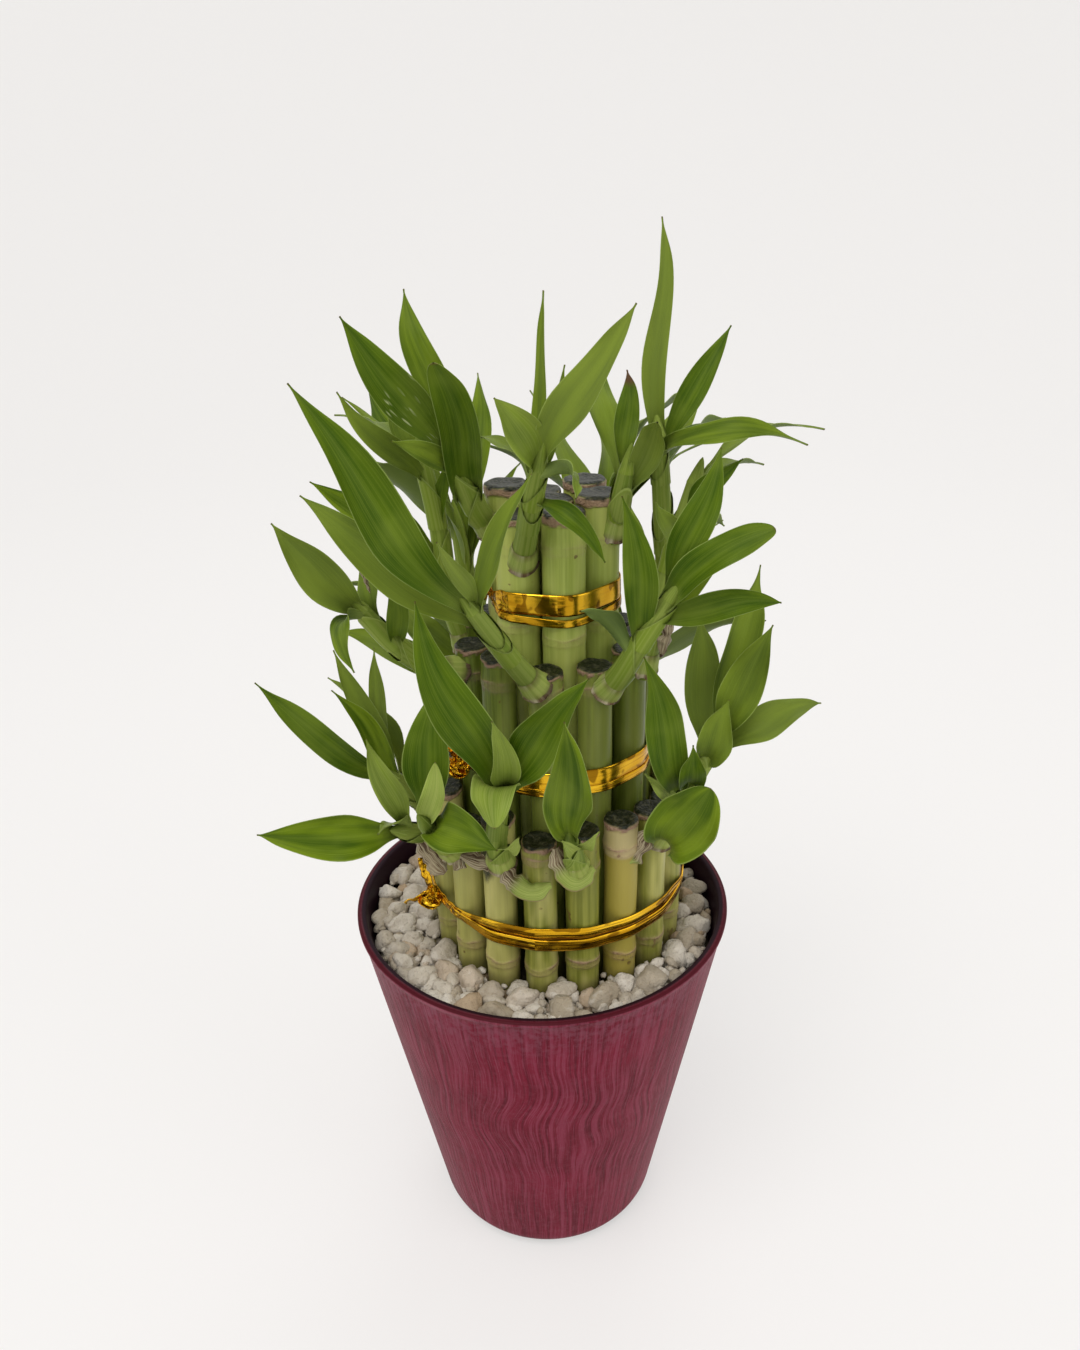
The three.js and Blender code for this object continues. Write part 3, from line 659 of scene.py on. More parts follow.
def cane_paint(tier):
    """Canes; the marks are bark, wax, the tone, where 2 is a yellow cane, and the darkening toward the foot,
    partly grime and partly painted shade.
    """
    colours = {**CANE_COLOURS, **TIER_COLOURS[tier]}
    paint = Paint(f"cane_{tier}", colours, roughness=0.38, specular_ior_level=0.22)
    bark, wax, tone, dirt = paint.marks()
    place = paint.place()
    x, y, z = place.parts()
    streaks = paint.noise((x * 700, y * 700, z * 14 + tone * 9), 1, 3, 0.6)
    broad = paint.noise((x * 130, y * 130, z * 28))
    yellow = tone.ramp(1.2, 1.8, 0.85)
    above_node = z.ramp(YELLOW_TOP * MM, (YELLOW_TOP + 1) * MM)
    spots = paint.noise(place, 330, 1).ramp(0.68, 0.73, 0.75) * paint.noise(place, 62, 1).ramp(0.54, 0.62)

    bark_colour = paint.coats("bark", ("pale_bark", paint.noise(place, 900)))
    cap = paint.coats("wax", ("wax_fleck", paint.noise(place, 700, 4).ramp(0.45, 0.8)))
    colour = paint.coats(
        "dark",
        ("light", streaks.ramp(0.12, 0.8)),
        # Broad paler patches and paler canes: partly their own tone, partly painted highlight
        ("warm", broad.ramp(0.4, 0.7, 0.6)),
        ("warm", tone.ramp(0.3, 1, 0.45)),
        ("yellow", yellow),
        ("yellow_top", yellow * above_node),
        ("spot", spots),
        # Darker toward the foot: partly grime, partly painted shade just above the pebbles
        ("dirt", dirt),
        (bark_colour, bark),
        (cap, wax),
    )
    rough = paint.noise(place, 1100, 3) * (bark.calc("MAXIMUM", wax * 0.6) + 0.06)
    return paint.finish(colour, rough + streaks * 0.1, 0.001, 0.8)


def pot_paint():
    """Burgundy plastic with a wood-like grain that sways at mid height."""
    paint = Paint("pot", POT_COLOURS, roughness=0.45, specular_ior_level=0.07)
    place = paint.place()
    x, y, z = place.parts()
    sway = (paint.noise((x, y, z * 1.1), 24, 1) - 0.5) * GRAIN["sway"]
    mid_height = z.ramp(0.015, 0.06) * (1 - z.ramp(0.085, 0.12, 0.9))
    turn = x.calc("ARCTAN2", y * -1) + sway * mid_height

    def grain(across, up, detail, roughness):
        circle = (turn.calc("COSINE") * across, turn.calc("SINE") * across, z * up)
        return paint.noise(circle, 1, detail, roughness)
    streaks = grain(*GRAIN["streaks"])
    fibres = grain(*GRAIN["fibres"])
    patch = paint.noise(place, 38, 3, 0.6)
    dust = paint.noise(place, 420, 3, 0.6)
    under_top = POT["height"] * MM - z
    lip_radius = z * POT_SLOPE + (POT["foot_radius"] - POT["lip_width"]) * MM
    # The inside of the pot and the inner part of its rim's top are painted near black: painted shade, which
    # also makes the lip look thin
    inside = (lip_radius - (x * x + y * y).calc("SQRT")).ramp(-0.0006, 0.0006)
    lip = under_top.ramp(0.0009, 0.0004) * (1 - inside)

    colour = paint.coats(
        "deep",
        ("red", patch.ramp(0.3, 0.7)),
        ("streak", streaks.ramp(0.48, 0.66, 0.62)),
        ("groove", streaks.ramp(0.5, 0.34, 0.62)),
        ("fibre", fibres.ramp(0.5, 0.72, 0.7)),
        ("dust", dust.ramp(0.45, 0.7, 0.22)),
        ("near_rim", under_top.ramp(0.022, 0.004, 0.4) * dust.ramp(0.35, 0.6)),
        # A paler band just under the lip: painted highlight
        ("worn_edge", under_top.ramp(0.0032, 0.002, 0.55) * patch.ramp(0.35, 0.65)),
        ("inside", inside),
        ("lip", lip),
    )
    height = (streaks + fibres * 0.5 + dust * 0.25) * (1 - lip.calc("MAXIMUM", inside))
    return paint.finish(colour, height, 0.0006, 0.6)


def pebble_paint():
    """Pebbles; the second mark is the fill under them, painted dark as the shade between the pebbles, and the
    third one the tone.
    """
    paint = Paint("pebbles", PEBBLE_COLOURS, roughness=0.8, specular_ior_level=0.15)
    _, fill, tone, _ = paint.marks()
    mottle = paint.noise(paint.place(), 230, 4, 0.6)
    pores = paint.noise(paint.place(), 1200, 3, 0.6)
    colour = paint.coats(
        "grey",
        ("pale", tone * (4 / 3)),
        ("tan", tone.ramp(0.8, 0.95)),
        ("brown", mottle.ramp(0.5, 0.75, 0.5)),
        ("chalk", mottle.ramp(0.45, 0.25, 0.35)),
        ("pore", pores.ramp(0.55, 0.7, 0.45)),
        # The fill under the pebbles, painted dark: painted shade in the gaps between them
        ("fill", fill),
    )
    return paint.finish(colour, pores * 0.6 + mottle, 0.0012, 0.8)


def tie_paint():
    """Gilt film; the marks are how crumpled, how shaded and the tone."""
    paint = Paint("tie", TIE_COLOURS, metallic=1.0, roughness=0.2)
    u, v = paint.uv()
    crumpled, shaded, tone, _ = paint.marks()
    seed = tone * 30
    patch = paint.noise((u * 20, v * 0.6, seed), detail=1)
    lines = paint.noise((u * 7, v * 5, seed + 3), detail=1)
    amber = paint.noise((u * 34, v * 0.9, seed + 7), detail=1)
    folds = paint.noise((u * 6, v * 3, seed), detail=1)
    crinkle = paint.noise(paint.place(), 900)
    colour = paint.coats(
        "gold",
        ("deep_gold", patch.ramp(0.3, 0.6)),
        # Darker streaks along the film: painted reflections
        ("line", lines.ramp(0.54, 0.68, 0.5)),
        # Long dark patches along the film: painted reflections of darker surroundings
        ("amber", amber.ramp(0.53, 0.58, 0.7) * (1 - crumpled)),
        ("shade", shaded * 0.9),
        # Darker creases in the crumpled film: painted shade
        ("crease", crinkle.ramp(0.5, 0.62, 0.8) * crumpled),
    )
    return paint.finish(colour, folds + crinkle * crumpled * 1.2, 0.0006, 0.4)


# Pot
def pot_radius(z):
    return POT["foot_radius"] + POT_SLOPE * z


def pot_profile():
    """The pot's outline as (radius, height): foot, wall, lip and down the inside to the floor."""
    height, wall, floor, foot_round = (POT[key] for key in ("height", "wall", "floor", "foot_round"))
    turn = math.pi / 2 - math.atan(POT_SLOPE)
    centre = POT["foot_radius"] - foot_round * math.tan(turn / 2)
    profile = [(0, 0), (centre * 0.6, 0), (centre, 0)]
    for angle in np.linspace(0, turn, 12)[1:]:
        profile.append((centre + foot_round * math.sin(angle), foot_round * (1 - math.cos(angle))))
    for z in np.linspace(profile[-1][1] + 2, height - POT["lip_drop"], 50):
        profile.append((pot_radius(z), z))
    rim = pot_radius(height)
    profile += [(rim + out * POT["lip"], height - drop) for out, drop in LIP]
    profile += [(rim - wall + out, height - drop) for out, drop in INNER_LIP]
    for z in np.linspace(height - 1.2, floor + 3, 24):
        profile.append((pot_radius(z) - wall, z))
    profile += [(pot_radius(0) - wall - 3, floor), (0, floor)]
    return profile


def make_pot(material):
    shape = Shape()
    shape.grid(turned(pot_profile(), POT["columns"]))
    make_piece("pot_fine", shape, material, "pot")


# Canes
def cane_azimuth(tier, k):
    return tier["first"] + k * 360 / tier["count"]


def cane_spot(tier, k, away=0.0):
    return outward(cane_azimuth(tier, k)) * (tier["ring"] + away) + (BUNDLE_X, 0, 0)


def cane_places():
    """Every cane: its name, its tier, where it stands, its top and the heights of its nodes."""
    places = []
    for t, tier in enumerate(TIERS):
        random = random_source(t + CANE["seed"])
        for k in range(tier["count"]):
            top = tier["top"] + around(random, tier["spread"])
            nodes = [node + around(random, CANE["node_spread"]) for node in tier["nodes"]]
            places.append((f"cane_{tier['name']}_{k + 1}", tier, cane_spot(tier, k), top, nodes))
    tier = TIERS[MIDDLE_CANE["tier"]]
    spot = np.array([BUNDLE_X, 0.0, 0.0])
    places.append(("cane_upper_middle", tier, spot, MIDDLE_CANE["top"], tier["nodes"]))
    return places


def cane_heights(foot, top, nodes):
    """Heights of a cane's rows: close together round its nodes and its top."""
    stops = [foot, CANE_ROWS["bed"], top - CANE_ROWS["end"], top - CANE["cap"]]
    runs = list(zip(stops, stops[1:], CANE_ROWS["steps"]))
    reach = CANE_ROWS["node_reach"]
    runs += [(node - reach, node + reach, CANE_ROWS["node_step"]) for node in nodes]
    heights = {h for run in runs for h in np.arange(*run).tolist()}
    z = np.array(sorted(h for h in heights if h < top - CANE["cap"]))
    return z[np.insert(np.diff(z) > CANE_ROWS["least"], 0, True)]


def node_relief(rows, z, angle, nodes, seed, mark):
    """How far a cane stands out round its nodes, and how much bark shows there."""
    swell = 0.14 * wobble(rows * (1, 1, 0.25) + (seed * 31, 0, 0), 5.0, seed)
    bark = np.zeros_like(swell)
    for n, node in enumerate(nodes):
        tilt = 0.5 * np.sin(angle + seed + n * 2)
        line = z[:, None] - node - tilt + 0.3 * wobble(rows, 2.6, seed + 5)
        worn = np.clip(0.75 + 0.6 * wobble(rows, 3.5, seed + n), 0.15, 1)
        swell += 0.36 * bell(line, 2.4) * (0.4 + 0.6 * mark)
        for at, strength in NODE_RINGS:
            bark = np.maximum(bark, mark * strength * worn * bell(line - at, 0.5))
            swell += 0.14 * mark * bell(line - at, 0.5)
        bark = np.maximum(bark, 0.4 * mark * worn * bell(line, 1.8))
    return swell, bark


def cane_cap(radius, top, spot, seed):
    """The waxed end of a cane, slightly hollow and uneven."""
    rows = turned([(radius * share, top - drop) for share, drop in CAP], CANE["columns"], *spot[:2])
    share = np.array(CAP)[:, :1]
    rows[..., 2] += 0.2 * wobble(rows, 3.5, seed) * (0.4 + share) - 0.15
    return rows


def make_cane(number, name, tier, spot, top, nodes, material):
    radius, tier_name = tier["radius"], tier["name"]
    seed = number * CANE["seed_step"]
    z = cane_heights(tier["foot"], top, nodes)
    angle = ring_angles(CANE["columns"])
    out = turned([(1, 0)], CANE["columns"])[0]
    rows = turned([(radius - 0.12, height) for height in z], CANE["columns"])
    swell, bark = node_relief(rows, z, angle, nodes, seed, CANE["node_mark"][tier_name])
    below = top - z[:, None] + 0.7 * wobble(rows, 3.5, seed + 9)
    rim = CANE["rim"][tier_name]
    frayed = 0.5 * wobble(rows, 1.4, seed + 3)
    bark = np.maximum(bark, smooth((rim + 0.7 + frayed - below) / 0.5) * 0.9)
    wax = smooth((0.95 + 0.5 * frayed - below) / 0.4)
    swell += 0.2 * smooth(rim + 1.0 - below) - 0.12 * wax
    if name in CANE_WAX:
        azimuth, length = CANE_WAX[name]
        side = smooth((np.cos(angle - math.radians(azimuth)) - 0.55) / 0.12)
        run = side * smooth(length + 2.5 * wobble(rows, 6.0, seed) - below)
        wax = np.maximum(wax, run * 0.92)
    # Darker toward the foot, where the canes go into the pebbles: partly grime, partly painted shade
    dirt = 0.6 * smooth((CANE["dirt_and_shade_top"] - z[:, None]) / 5)
    tone = CANE_TONE.get(name, (seed * 0.618) % 1)
    rows += out * swell[..., None] + (spot[0], spot[1], 0)
    cap = cane_cap(radius, top, spot, seed)
    cap_marks = np.broadcast_to((0, 1, tone, 0), (len(cap), CANE["columns"], 4))
    marks = np.concatenate([layers(np.clip(bark, 0, 1), wax, tone, dirt), cap_marks])
    shape = Shape()
    shape.grid(np.concatenate([rows, cap]), marks=marks)
    make_piece(f"{name}_fine", shape, material, name)


# Ties
def tie_outline(tier, away):
    """Points of the taut outline round a tier's canes, with the share of the way round at each."""
    turns = np.linspace(-0.5, 0.5, 9) * 360 / tier["count"]
    corners = [cane_spot(tier, k) + outward(cane_azimuth(tier, k) + turn) * (tier["radius"] + away)
               for k in range(tier["count"]) for turn in turns]
    corners = np.array([*corners, corners[0]])
    reach = np.insert(np.cumsum(np.linalg.norm(np.diff(corners, axis=0), axis=1)), 0, 0)
    count = int(reach[-1] / TIE["step"])
    at = np.arange(count) * reach[-1] / count
    points = np.stack([np.interp(at, reach, corners[:, i]) for i in range(3)], -1)
    for _ in range(TIE["smoothing"]):
        points = (np.roll(points, 1, 0) + 2 * points + np.roll(points, -1, 0)) / 4
    return points, at / reach[-1]


def add_strand(shape, tie, lift, width, drift, away, seed):
    """One flat strand of film round a tier; the strands of a tie draw together where they meet."""
    tier = TIERS[tie["tier"]]
    points, share = tie_outline(tier, TIE["inner"] + away)
    ahead = unit(np.roll(points, -1, 0) - np.roll(points, 1, 0))
    out = np.stack([ahead[:, 1], -ahead[:, 0], ahead[:, 2]], -1)
    azimuths = share * 360 + tier["first"] - 180 / tier["count"]

    def apart(azimuth):
        return np.abs((azimuths - azimuth + 180) % 360 - 180)
    gather = np.max([smooth((np.cos(np.radians(apart(a))) - 0.88) / 0.12) for a in tie["meet"]], 0)
    crumpled = np.max([smooth((reach - apart(a)) / (reach * 0.4)) for a, reach in tie["crumples"]], 0)
    middle = tie["z"] + lift * (1 - 0.72 * gather) + drift * np.sin(share * 4 * np.pi + 1.2)
    half = width / 2 * (1 - 0.3 * gather)

    def face(u, sign):
        """One face of the film; u is how far across each column lies, from -1 to 1."""
        sheet = layers(points[:, :1], points[:, 1:2], middle[:, None] + half[:, None] * u)
        crease = wobble(sheet * (0.4, 0.4, 0.8), 6.0, seed) * 0.16
        crease += wobble(sheet, 1.8, seed + 3) * (0.015 + 0.25 * crumpled)[:, None]
        thickness = TIE["thickness"] if sign > 0 else 0.0
        return sheet + along(out, crease + 0.07 * (1 - u ** 2) + thickness)
    across = np.linspace(-1, 1, 9)
    ring = both_faces(face, across)
    uv = layers(share[:, None], sheet_share(across))
    # Painted shade: a strand set in behind the others is painted wholly shaded, as the dark gap between them,
    # and each tie is darkened by its own share
    shade = 1.0 if away < 0 else tie["shade"]
    marks = layers(crumpled[:, None], shade, (seed * 0.37) % 1, 0)
    rows = [np.concatenate([part, part[:1]]) for part in (ring, uv, marks)]
    rows[1][-1, :, 0] += 1
    shape.grid(*rows)


def add_ribbon(shape, points, width, facing, seed, curl):
    """A creased strip of film along a list of points."""
    across, normal = turned_pair(*strip_sides(points, facing), curl * np.linspace(0, 1, len(points)))

    def face(u, sign):
        sheet = points[:, None, :] + across[:, None, :] * (u * width / 2)[:, None]
        return sheet + along(normal, 0.5 * wobble(sheet, 2.2, seed) + 0.15 * sign)
    shape.grid(both_faces(face, np.linspace(-1, 1, 7)), marks=(1, 0, 0.3, 0))


def add_knot(shape, knot, z):
    points, faces = unit_ball(4)
    crease = np.abs(wobble(points, 0.45, z)) + 0.5 * np.abs(wobble(points, 0.2, z + 2))
    points = points * (TIE["knot"] * (1.0 - 0.4 * crease))[:, None] * (0.9, 0.9, 1.15)
    shape.mesh(knot + points, (1, 0, 0.6, 0), faces)


def add_tail(shape, knot, tail, facing, seed, curl):
    t = np.linspace(0, 1, 24)[:, None]
    middle = tail / 2 + TIE["tail_bow"]
    points = knot + 2 * t * (1 - t) * middle + t * t * tail
    add_ribbon(shape, points, TIE["tail_width"], facing, seed, curl)


def add_loop(shape, knot, n, z):
    """A small loop of film round the knot; each one is turned and sized a little otherwise."""
    t = np.linspace(0.1, 0.9, 22)[:, None] * 2 * np.pi
    lean = unit(np.array([math.sin(n * 2.1 + z), -1, math.cos(n * 1.7)]))
    side = unit(np.cross(lean, (0.3, 0.2, 1)))
    loop = side * np.sin(t) * 0.9 + np.cross(lean, side) * (1 - np.cos(t)) * 0.62
    loop *= TIE["knot"] * (0.8 + 0.12 * n)
    add_ribbon(shape, knot + loop, TIE["loop_width"], lean, z + n + 7, n * 0.8)


def make_tie(tie, material):
    tier, z = TIERS[tie["tier"]], tie["z"]
    shape = Shape()
    for n, (strand, away) in enumerate(zip(tie["strands"], tie["inset"])):
        add_strand(shape, tie, *strand, away, z + n * 5)
    reach = tier["ring"] + tier["radius"] + TIE["knot_gap"] + TIE["knot"] / 2
    knot = outward(tie["knot_azimuth"]) * reach + (BUNDLE_X, 0, z)
    add_knot(shape, knot, z)
    facing = outward(tie["knot_azimuth"] + 20)
    for n, tail in enumerate(tie["tails"]):
        add_tail(shape, knot, np.array(tail), facing, z + n, 1.5 - 2.5 * n)
    for n in range(TIE["loops"]):
        add_loop(shape, knot, n, z)
    make_piece(f"tie_{tie['name']}_foil", shape, material, f"tie_{tie['name']}")


# Pebbles
def wall_radius(z):
    return pot_radius(z) - POT["wall"] - BED["wall_gap"]


def pebble_spots(z, seed, least, largest, crowd):
    """Places and sizes of one layer, thrown at random and kept where there is room."""
    random = random_source(seed)
    tier = TIERS[0]
    canes = np.array([cane_spot(tier, k)[:2] for k in range(tier["count"])])
    kept = np.zeros((0, 3))
    for _ in range(PEBBLE["thrown"]):
        size = mix(least, largest, random())
        reach = math.sqrt(mix(0.3, 1.0, random())) * (wall_radius(z) - size * PEBBLE["into_wall"])
        spot = (outward(random() * 360) * reach)[:2]
        if np.hypot(spot[0] - BUNDLE_X, spot[1]) < tier["ring"]:
            continue
        if np.min(np.hypot(*(canes - spot).T)) < tier["radius"] + size * PEBBLE["into_cane"]:
            continue
        if np.all(np.hypot(*(kept[:, :2] - spot).T) > crowd * (size + kept[:, 2])):
            kept = np.vstack([kept, (*spot, size)])
    return kept


def add_pebble(shape, place, size, ball, random):
    """A lumpy stone with a few flats, turned at random and kept inside the pot."""
    points, faces = ball
    seed = random() * 50
    stone = points * (1 + 0.2 * wobble(points, 0.9, seed)[:, None])
    for _ in range(PEBBLE["flats"]):
        flat = unit(np.array([random() - 0.5 for _ in range(3)]))
        over = np.maximum(stone @ flat - mix(0.62, 0.85, random()), 0)
        stone = stone - 0.8 * over[:, None] * flat
    stone = stone * (1 + 0.06 * wobble(points, 0.35, seed + 4)[:, None])
    stone = stone * [mix(*span, random()) for span in PEBBLE["sides"]]
    turn = Matrix.Rotation(random() * PEBBLE["turn"], 3, "Z")
    turn = turn @ Matrix.Rotation(around(random, 0.6), 3, "X")
    stone = stone @ np.array(turn).T * size + place
    over_rim = np.hypot(stone[:, 0], stone[:, 1]) / (pot_radius(stone[:, 2]) - POT["wall"] - 0.2)
    stone[:, :2] /= np.maximum(over_rim, 1)[:, None]
    shape.mesh(stone, (0, 0, random(), 0), faces)


def make_bed(material):
    shape = Shape()
    random = random_source(BED["seed"])
    low = POT["floor"] + 0.3
    mid = POT["foot_round"]
    top = BED["fill_top"]
    fill = [(0, low), (wall_radius(low) - 3, low), (wall_radius(mid), mid), (wall_radius(top), top), (0, top)]
    # The fill under the pebbles is marked to be painted dark, as painted shade in the gaps
    shape.grid(turned(fill, 64), marks=(0, 1, 0, 0))
    for under, least, largest, crowd, seed, fineness in PEBBLE_LAYERS:
        ball = unit_ball(fineness)
        z = BED["top"] - under
        for x, y, size in pebble_spots(z, seed, least, largest, crowd):
            add_pebble(shape, (x, y, z + around(random, 0.9)), size, ball, random)
    make_piece("pebbles_fine", shape, material, "pebble_bed")


# Stems
class Stem:
    """A centripetal Catmull-Rom curve through a stem's points, as the part's source draws it.
    Each t, from 0 to 1, is one place along the stem or an array of them."""

    def __init__(self, points):
        points = np.asarray(points, float)
        self.spans = len(points) - 1
        self.length = np.linalg.norm(np.diff(points, axis=0), axis=1).sum()
        self.padded = np.array([2 * points[0] - points[1], *points, 2 * points[-1] - points[-2]])

    def at(self, t):
        place = np.asarray(t) * self.spans
        k = np.minimum(place.astype(int), self.spans - 1)
        weight = (place - k)[..., None]
        a, b, c, d = ends = np.array([self.padded[k + n] for n in range(4)])
        ab, bc, cd = np.sqrt(np.linalg.norm(np.diff(ends, axis=0), axis=-1, keepdims=True))
        lead = ((b - a) / ab - (c - a) / (ab + bc) + (c - b) / bc) * bc
        trail = ((c - b) / bc - (d - b) / (bc + cd) + (d - c) / cd) * bc
        square = -3 * b + 3 * c - 2 * lead - trail
        cube = 2 * b - 2 * c + lead + trail
        return b + lead * weight + square * weight ** 2 + cube * weight ** 3

    def ahead(self, t):
        return unit(self.at(np.minimum(t + 0.01, 1)) - self.at(np.maximum(t - 0.01, 0)))

    def sides(self, t):
        """Two directions across the stem, at right angles."""
        ahead = self.ahead(t)
        side = unit(np.array([1.0, 0, 0]) - ahead * ahead[..., :1])
        return side, np.cross(ahead, side)

    def skin(self, t, angle, away):
        """Points round the stem, this far outside its surface."""
        t = np.clip(t, 0, 1)
        side, other = self.sides(t)
        out = side * np.cos(angle)[:, None] + other * np.sin(angle)[:, None]
        return self.at(t) + out * (stem_radius(t) + away)[..., None]


def stem_radius(t):
    return mix(STEM["foot"], STEM["tip"], t)


def stem_uv(rows, columns):
    """UVs that keep a tube's material clear of a leaf's midrib, edge and tip."""
    u = 0.15 + 0.3 * np.abs(1 - 2 * np.arange(columns) / columns)
    return layers(u, np.full((rows, 1), 0.4))


def add_tube(shape, stem, start, end, away, marks, rows, flare=0.0, cut=0.0, centre=0.0):
    """A tube along the stem with a pale far edge; cut is how far it is cut back opposite centre."""
    columns = STEM["columns"]
    angle = ring_angles(columns)
    share = 1 - (1 - np.linspace(0, 1, rows)[:, None]) ** 1.5
    t = mix(start, end, share) + cut * share * (np.cos(angle - centre) - 1) / 2
    uv = stem_uv(rows, columns)
    uv[-2:, :, 0] = 0.0
    shape.grid(stem.skin(t, angle, away + flare * share ** 2), uv, marks)


def add_spike(shape, stem, length, marks):
    """The furled leaf at the end of a stem."""
    end, ahead = stem.at(1.0), stem.ahead(1.0)
    side, other = stem.sides(1.0)
    angle = ring_angles(SPIKE["columns"])[:, None]
    circle = side * np.cos(angle) + other * np.sin(angle)
    share = np.linspace(0, 1, SPIKE["rows"])[:, None, None]
    radius = (STEM["tip"] + STEM["sunk"]) * (1 - share) ** 0.7 + SPIKE["tip"]
    shape.grid(end + ahead * (share * length - 0.3) + circle * radius, marks=marks)


def add_stem(shape, stem, leaves, seed, flare):
    """The stem with its collar, a sheath under each leaf and the furled leaf at its end."""
    random = random_source(seed)
    tone = random()
    add_tube(shape, stem, 0.0, 1.0, STEM["sunk"], (STEM["pale"], 0, tone, 0), STEM["rows"])
    add_collar(shape, stem, seed)
    sheathed = []
    for place, tip, *_ in leaves:
        if any(abs(place - other) < SHEATH["apart"] for other in sheathed):
            continue
        sheathed.append(place)
        away = np.asarray(tip, float) - stem.at(place)
        side, other = stem.sides(place)
        centre = math.atan2(away @ other, away @ side)
        below, above, cut = (SHEATH[key] / stem.length for key in ("below", "above", "cut"))
        marks = (mix(*SHEATH["pale"], random()), 0, random(), 0)
        add_tube(shape, stem, max(place - below, 0), min(place + above, 1), SHEATH["lift"], marks,
                 SHEATH["rows"], flare, cut, centre)
    add_spike(shape, stem, mix(*SPIKE["length"], random()), (SPIKE["pale"], 0, tone, 0))


def add_collar(shape, stem, seed):
    """A swollen pale cuff where the stem leaves its cane, with a dry ragged rim."""
    angle = ring_angles(STEM["columns"] * 2)
    height, out, green = np.array(COLLAR).T[..., None]
    row = np.arange(len(COLLAR))[:, None]
    ragged = wobble(layers(np.cos(angle), np.sin(angle), 0.2 * row), 0.35, seed)
    t = (height + 1.2 + 0.8 * ragged * (1 - green)) / stem.length
    points = stem.skin(t, angle, out * (1 + 0.25 * ragged) - 0.1)
    pale = 0.9 * green
    pale[-1] = 0.4
    shape.grid(points, stem_uv(*points.shape[:2]), layers(pale, 0, 0.5, DRY))


# Leaves
def blade_half_width(s, width, blunt, base):
    low = width / 2 * mix(base, 1, smooth(s / BLADE["full_at"]))
    u = np.clip((s - BLADE["full_at"]) / (1 - BLADE["full_at"]), 0, 1)
    power = BLADE["taper"] * blunt
    high = width / 2 * (1 - u) ** power * (1 + power * u)
    return np.maximum(np.where(s < BLADE["full_at"], low, high), BLADE["tip"])


def add_leaf(shape, base, tip, width, arch, face, blunt, marks, seed, radius, narrow):
    """A folded, waved blade from base to tip that clasps its stem at the base."""
    random = random_source(seed)
    length = np.linalg.norm(tip - base)
    chord = unit(tip - base)
    rise = math.radians(BLADE["face_rise"])
    toward = outward(face) * math.cos(rise) + (0, 0, math.sin(rise))
    upper = unit(toward - chord * (toward @ chord))
    across = np.cross(upper, chord)
    control = (base + tip) / 2 + upper * 2 * arch
    s = np.sin(np.linspace(0, math.pi / 2, BLADE["rows"])) ** 1.3
    t = s[:, None]
    midrib = (1 - t) ** 2 * base + 2 * t * (1 - t) * control + t * t * tip
    normal = unit(np.cross((1 - t) * (control - base) + t * (tip - control), across))
    twist = around(random, 0.5) * min(blunt, 1) * s ** 2
    bend = around(random, 0.05) * np.sin(math.pi * s) + around(random, 0.03) * np.sin(2 * math.pi * s)
    midrib = midrib + across * (length * bend)[:, None]
    side, normal = turned_pair(across, normal, twist)
    clasp = np.clip(1 - s * length / BLADE["clasp"], 0, 1)
    half = (blade_half_width(s, width, blunt, narrow) + clasp ** 1.5 * radius * 0.6)[:, None]
    fold = np.radians(mix(BLADE["fold_tip"], BLADE["fold_base"], (1 - s) ** 2))
    arc = (2 * fold + clasp)[:, None]
    midrib = midrib - normal * (radius * 0.8 * clasp ** 1.3)[:, None]
    waves = mix(1.0, 2.0, random()) * 2 * math.pi * t
    phases = (random() * BLADE["phase"], random() * BLADE["phase"])
    wave_height = BLADE["wave"] * width * fade_ends(t)

    def leaf_face(u, sign):
        turn = arc * u
        out = half * np.sin(turn) / arc
        up = half * (1 - np.cos(turn)) / arc
        up += wave_height * np.sin(waves + np.where(u < 0, *phases)) * np.abs(u) ** 2.5
        up -= 0.1 * bell(u, 0.14) * smooth(t / 0.3)
        up += sign * BLADE["thickness"] / 2 * (1 - 0.75 * u ** 2)
        return midrib[:, None, :] + along(side, out) + along(normal, up)
    u = np.sin(np.linspace(-math.pi / 2, math.pi / 2, BLADE["columns"]))
    pale, tone, kind = marks
    under = np.repeat([0, 1], len(u))
    shape.grid(both_faces(leaf_face, u), layers(sheet_share(u), t), layers(pale, under, tone, kind))


def add_husk(shape, path, width, cup, green, seed):
    """A dried sheath: a cupped, ragged scrap along a curve, green toward its end if half alive."""
    t = np.linspace(0, 1, HUSK["rows"])
    points = Stem(path).at(t)
    across, normal = strip_sides(points, unit(points - (BUNDLE_X, 0, 0)) * (1, 1, 0) + (0, 0, 0.3))
    half = width / 2 * (0.35 + 0.65 * fade_ends(t))[:, None]
    green = smooth((t - 1 + green) / 0.25)[:, None]

    def face(u, sign):
        edge = points[:, None, :] + (0, 0, 9) * np.sign(u)[:, None]
        torn = 1 + (0.1 + 0.25 * (1 - green)) * wobble(edge, 2.0, seed)
        sheet = points[:, None, :] + along(across, half * u * torn)
        depth = 0.3 * wobble(sheet, 1.9, seed + 1) - cup * half * u ** 2
        return sheet + along(normal, depth + HUSK["thickness"] / 2 * sign)
    u = np.linspace(-1, 1, HUSK["columns"])
    uv = layers(0.1 + 0.8 * sheet_share(u), 0.3 + 0.3 * t[:, None])
    shape.grid(both_faces(face, u), uv, layers(green * 0.9, 0, 0.5, DRY))


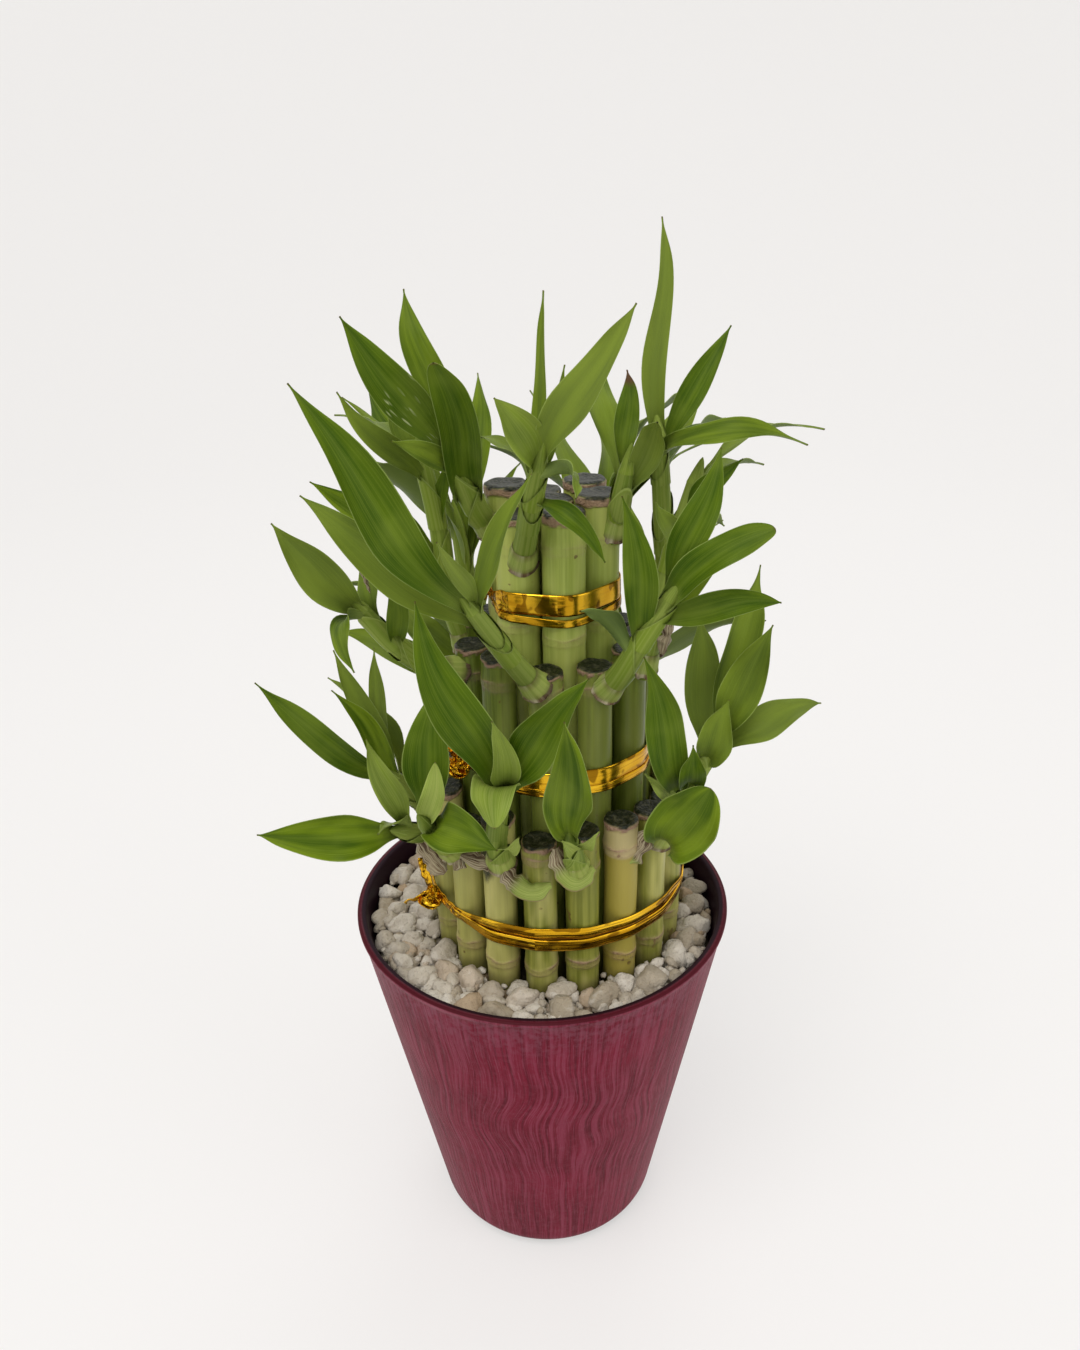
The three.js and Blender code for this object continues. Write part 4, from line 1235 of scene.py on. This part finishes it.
# Shoots
def far_shoot(name, tier_number, cane, seed):
    """A shoot of the far side, laid out by the part's seeded rule."""
    tier = TIERS[tier_number]
    random = random_source(seed)

    def draw(span):
        return mix(*FAR[span], random())
    azimuth = cane_azimuth(tier, cane)
    start = cane_spot(tier, cane, tier["radius"] - FAR["sink"])
    start[2] = tier["nodes"][-1] - FAR["below_node"]
    run = outward(azimuth) * draw("reach")
    rise = draw("rise")
    end = start + run + (0, 0, rise)
    bend = start + run * FAR["bend_out"] + (0, 0, rise * FAR["bend_up"])
    leaves = []
    for k in range(FAR["leaves"]):
        turn = azimuth + (k - (FAR["leaves"] - 1) / 2) * FAR["fan"]
        tip = end + outward(turn) * draw("leaf_reach") + (0, 0, draw("leaf_rise"))
        shape = (draw("width"), draw("arch"), turn + 180 + around(random, FAR["roll"]))
        leaves.append((mix(FAR["lowest_leaf"], 1, (k * FAR["leaf_step"]) % 1), tip, *shape))
    return dict(name=name, stem=[start, bend, end], leaves=leaves)


def make_shoot(shoot, number, material):
    stem = Stem(shoot["stem"])
    shape = Shape()
    random = random_source(number + SEEDS["tones"])
    name = shoot["name"]
    flare = shoot.get("flare", SHEATH["flare"])
    add_stem(shape, stem, shoot["leaves"], number + SEEDS["stem"], flare)
    young, kind, strap, before = (shoot.get(key, {}) for key in ("young", "kind", "strap", "before"))
    for k, (place, tip, width, arch, face, *blunt) in enumerate(shoot["leaves"]):
        tone = mix(*LEAF_TONE, random()) * (k not in shoot.get("deep", ()))
        base = stem.at(place * STEM["leaf_reach"]) + outward(face) * before.get(k, 0.0)
        marks = (young.get(k, 0), tone, kind.get(k, 0))
        add_leaf(shape, base, np.asarray(tip, float), width, arch, face, *(blunt or [1]), marks,
                 number * SEEDS["leaf_step"] + k, stem_radius(place), strap.get(k, BLADE["base"]))
    for n, husk in enumerate(shoot.get("husks", ())):
        add_husk(shape, *husk, number * SEEDS["husk_step"] + n)
    make_piece(f"shoot_{name}_fine", shape, material, f"shoot_{name}")


# Floor, lights and camera
def make_stage():
    """A floor that curves up into a backdrop all round."""
    reach, turn, columns = STAGE["flat"][-1], STAGE["turn"], STAGE["columns"]
    profile = [(radius, 0) for radius in STAGE["flat"]]
    for a in np.linspace(0, math.pi / 2, 14)[1:]:
        profile.append((reach + turn * math.sin(a), turn * (1 - math.cos(a))))
    profile += [(reach + turn, height) for height in STAGE["wall"]]
    paint = Paint("floor", roughness=0.9, base_color=rgb(*STAGE["colour"]),
                  emission_color=rgb(*STAGE["glow"]), emission_strength=STAGE["glow_strength"])
    points = turned(profile, columns).reshape(-1, 3)
    floor = smooth_mesh("floor", points, grid_faces(len(profile), columns), paint.material)
    add_object("floor", floor)


def area_light(name, place, target, size, power, colour):
    data = bpy.data.lights.new(name, "AREA")
    data.shape = "DISK"
    data.size = size
    data.energy = power
    data.color = colour
    light = add_object(name, data)
    light.location = place
    light.rotation_euler = (Vector(target) - Vector(place)).to_track_quat("-Z", "Y").to_euler()


def make_lights():
    for light in LIGHTS:
        area_light(*light)
    world = bpy.data.worlds.new("world")
    world.use_nodes = True
    back = world.node_tree.nodes["Background"]
    back.inputs["Color"].default_value = WORLD["colour"]
    back.inputs["Strength"].default_value = WORLD["strength"]
    bpy.context.scene.world = world


def make_camera():
    data = bpy.data.cameras.new("camera")
    data.sensor_width = CAMERA["sensor"]
    data.lens = CAMERA["sensor"] * CAMERA["focal_px"] / CAMERA["image_height_px"]
    data.clip_start = 0.01
    camera = add_object("camera", data)
    turn = Matrix.Rotation(math.radians(90 - CAMERA["pitch"]), 4, "X")
    turn = turn @ Matrix.Rotation(math.radians(CAMERA["roll"]), 4, "Z")
    camera.matrix_world = Matrix.Translation(Vector(CAMERA["place"]) * MM) @ turn
    bpy.context.scene.camera = camera


make_camera()
make_lights()
make_stage()
bpy.context.scene.view_settings.view_transform = "Standard"

make_pot(pot_paint())
make_bed(pebble_paint())
cane_materials = {tier["name"]: cane_paint(tier["name"]) for tier in TIERS}
for number, (name, tier, *place) in enumerate(cane_places()):
    make_cane(number, name, tier, *place, cane_materials[tier["name"]])
foil = tie_paint()
for tie in TIES:
    make_tie(tie, foil)
leaf = leaf_paint()
for number, shoot in enumerate([*SHOOTS, *(far_shoot(*plan) for plan in FAR_SHOOTS)]):
    make_shoot(shoot, number, leaf)
